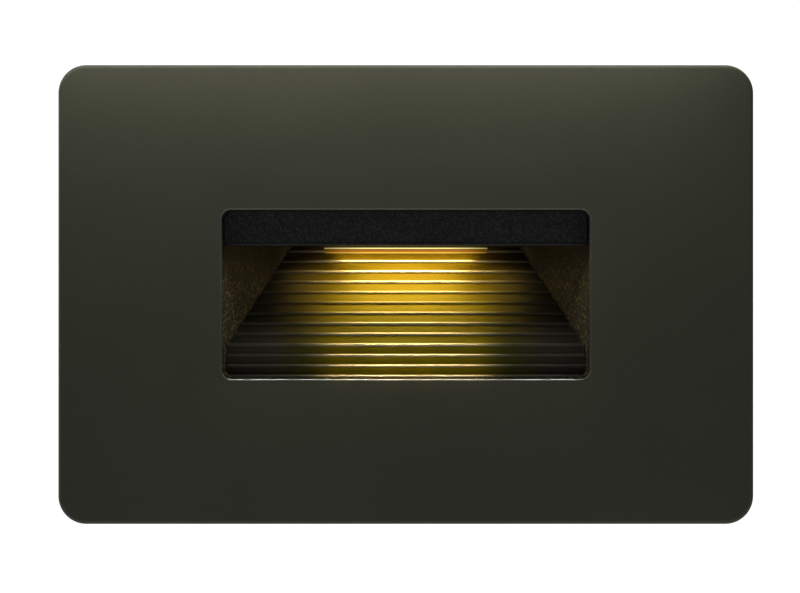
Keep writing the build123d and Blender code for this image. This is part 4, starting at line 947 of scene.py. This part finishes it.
# ---- stage
# Name, place, target, width, height and power in watts of each soft box round the object.
SOFT_BOXES = (
    ("softbox_left", (-0.70, -0.42, 0.10), (0, 0, 0), 0.6, 0.6, 0.34),
    ("softbox_right", (0.70, -0.42, 0.10), (0, 0, 0), 0.6, 0.6, 0.34),
    ("softbox_rear_right", (0.5, 0.9, 0.6), (0, 0.02, 0), 0.8, 0.8, 6.0),
    ("softbox_rear_left", (-0.9, 0.5, 0.3), (0, 0.02, 0), 0.8, 0.8, 4.0),
    ("softbox_over", (0.0, 0.30, 1.10), (0, 0.30, 0), 1.2, 1.2, 8.0),
)


def put_light(name, lamp, place, target, glossy=True):
    """Puts a light at a place, turned to a target, where the camera doesn't see it."""
    light = new_object(name, lamp)
    light.location = place
    light.rotation_euler = (Vector(target) - Vector(place)).to_track_quat("-Z", "Y").to_euler()
    light.visible_camera = False
    light.visible_glossy = glossy


def soft_light(name, place, target, width, height, power, tint=WHITE, spread=180.0,
               shape="RECTANGLE", glossy=True):
    """Soft box: an area light at a place, turned to a target."""
    lamp = bpy.data.lights.new(name, "AREA")
    lamp.shape, lamp.size, lamp.size_y = shape, width, height
    lamp.energy, lamp.color, lamp.spread = power, tint, math.radians(spread)
    put_light(name, lamp, place, target, glossy)


def spot_light(name, place, target, degrees, power, tint):
    """Soft spot: a cone of light from a place to a target, fading to nothing at its edge."""
    lamp = bpy.data.lights.new(name, "SPOT")
    lamp.energy, lamp.color, lamp.shadow_soft_size = power, tint, 3 * MM
    lamp.spot_size, lamp.spot_blend = math.radians(degrees), 1.0
    put_light(name, lamp, place, target)


def lay_floor():
    """Floor: a turned disc of paper under the object."""
    radius, top, thickness = 0.5, -0.12, 0.005
    points, faces = lathe([0, radius, radius, 0], [top, top, top - thickness, top - thickness],
                          columns=96)
    mesh = new_mesh("floor", points, faces.tolist())
    mesh.materials.append(finish_of("floor_paper"))
    floor = new_object("floor", mesh)


def paint_studio(stage):
    """Studio round the object: bright where the camera sees it, and dim as a light."""
    grey, seen_level = 0.5, 2.2
    world = bpy.data.worlds.new("studio")
    world.use_nodes = True
    tree = world.node_tree
    back = tree.nodes["Background"]
    back.inputs["Color"].default_value = rgba((grey, grey, grey))
    seen = tree.nodes.new("ShaderNodeLightPath")
    level = tree.nodes.new("ShaderNodeMapRange")
    level.inputs["To Min"].default_value = stage.studio_level / grey
    level.inputs["To Max"].default_value = seen_level
    tree.links.new(seen.outputs["Is Camera Ray"], level.inputs["Value"])
    tree.links.new(level.outputs[0], back.inputs["Strength"])
    bpy.context.scene.world = world


def light_plate():
    """Two strips that shine on the plate and the window's edge, and the soft boxes."""
    soft_light("strip_above", (-0.014, -0.026, 0.060), (-0.015, -0.004, 0.0), 0.14, 0.006, 0.052,
               glossy=False)
    soft_light("edge_strip", (0.0, -0.0102, 0.020), (0.0, -0.0102, 0.0), 0.062, 0.0012, 0.0007,
               spread=20.0)
    for box in SOFT_BOXES:
        soft_light(*box)


def light_lamp(sizes, glow, power):
    """The lamp's own light: a beam and a wider wash down from the lens, a fill behind it and one
    before it, and four spots that make the lip glow most in its middle."""
    x, y, _ = (LENS_LOW + LENS_HIGH) / 2
    for name, below, width, share, spread in (("lamp_beam", 0.05, 20, 1.0, 132.0),
                                              ("lamp_wash", 0.1, 40, 0.34, 140.0)):
        soft_light(name, (x, y, LENS_LOW.z - below * MM), (x, y, LENS_LOW.z - 1.0), width * MM,
                   8 * MM, share * power, glow, spread, "ELLIPSE")
    soft_light("lamp_back", (0.0, 7.7 * MM, 7.5 * MM), (0.0, 12.0 * MM, 5.6 * MM), 22 * MM,
               1.0 * MM, 0.75 * power, glow)
    soft_light("lamp_front", (0.0, -4.6 * MM, 7.4 * MM), (0.0, 2.0 * MM, 0.8 * MM), 26 * MM,
               1.0 * MM, 0.55 * power, glow, spread=100.0)
    lip_middle, pitch, spot_power = BAFFLE_LOW.z + sizes.lip_height / 2, 6.8 * MM, 0.86
    for step, share in ((-1.5, 0.65), (-0.5, 1.0), (0.5, 1.0), (1.5, 0.65)):
        x = pitch * step
        spot_light("lip_glow", (x, -0.072, 0.060), (x, BAFFLE_LOW.y, lip_middle), degrees=5.6,
                   power=spot_power * share, tint=glow)


def set_camera(stage):
    """Camera of the photo's view: level, and a little left of and below the plate's middle."""
    aside, below = -0.95 * MM, -0.33 * MM
    view = bpy.data.cameras.new("photo_view")
    view.sensor_width, view.sensor_fit = 36.0, "HORIZONTAL"
    view.lens = view.sensor_width * stage.camera_distance / stage.view_width
    view.clip_start, view.clip_end = 0.01, 20.0
    camera = new_object("photo_view", view)
    camera.location = (aside, PLATE_LOW.y - stage.camera_distance, below)
    camera.rotation_euler = (HALF_TURN / 2, 0, 0)
    scene = bpy.context.scene
    scene.camera = camera
    scene.view_settings.view_transform = "Standard"


class STEPLIGHT_OT_stage(bpy.types.Operator):
    """Make the floor, the soft lights and the camera."""

    bl_idname = "steplight.stage"
    bl_label = "Stage"

    def execute(self, context):
        sizes, colours, stage = settings()
        lay_floor()
        paint_studio(stage)
        light_plate()
        light_lamp(sizes, colours.glow, stage.lamp_power)
        set_camera(stage)
        return {"FINISHED"}


OPERATORS = (STEPLIGHT_OT_finishes, STEPLIGHT_OT_faceplate, STEPLIGHT_OT_ribbed_baffle,
             STEPLIGHT_OT_light_bar, STEPLIGHT_OT_screws, STEPLIGHT_OT_stage)


class STEPLIGHT_PT_pieces(bpy.types.Panel):
    """Lists the step light's pieces, sizes and colours."""

    bl_label = "Step light"
    bl_idname = "STEPLIGHT_PT_pieces"
    bl_space_type = "VIEW_3D"
    bl_region_type = "UI"
    bl_category = "Step light"

    def draw(self, context):
        for operator in OPERATORS:
            self.layout.operator(operator.bl_idname)
        for values in settings():
            column = self.layout.column()
            for name in values.bl_rna.properties.keys():
                if name not in ("rna_type", "name"):
                    column.prop(values, name)


GROUPS = {"step_light_sizes": StepLightSizes, "step_light_colours": StepLightColours,
          "step_light_stage": StepLightStage}


def register():
    """Registers the groups, operators and panel."""
    for name, group in GROUPS.items():
        bpy.utils.register_class(group)
        setattr(bpy.types.Scene, name, PointerProperty(type=group))
    for shown in (*OPERATORS, STEPLIGHT_PT_pieces):
        bpy.utils.register_class(shown)


def unregister():
    """Takes them out again."""
    for shown in (STEPLIGHT_PT_pieces, *reversed(OPERATORS)):
        bpy.utils.unregister_class(shown)
    for name, group in GROUPS.items():
        delattr(bpy.types.Scene, name)
        bpy.utils.unregister_class(group)


def main():
    """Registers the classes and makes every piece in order."""
    register()
    for operator in OPERATORS:
        family, name = operator.bl_idname.split(".")
        result = getattr(getattr(bpy.ops, family), name)()
        if result != {"FINISHED"}:
            raise RuntimeError(f"{operator.bl_label} did not finish")


if __name__ == "__main__":
    main()
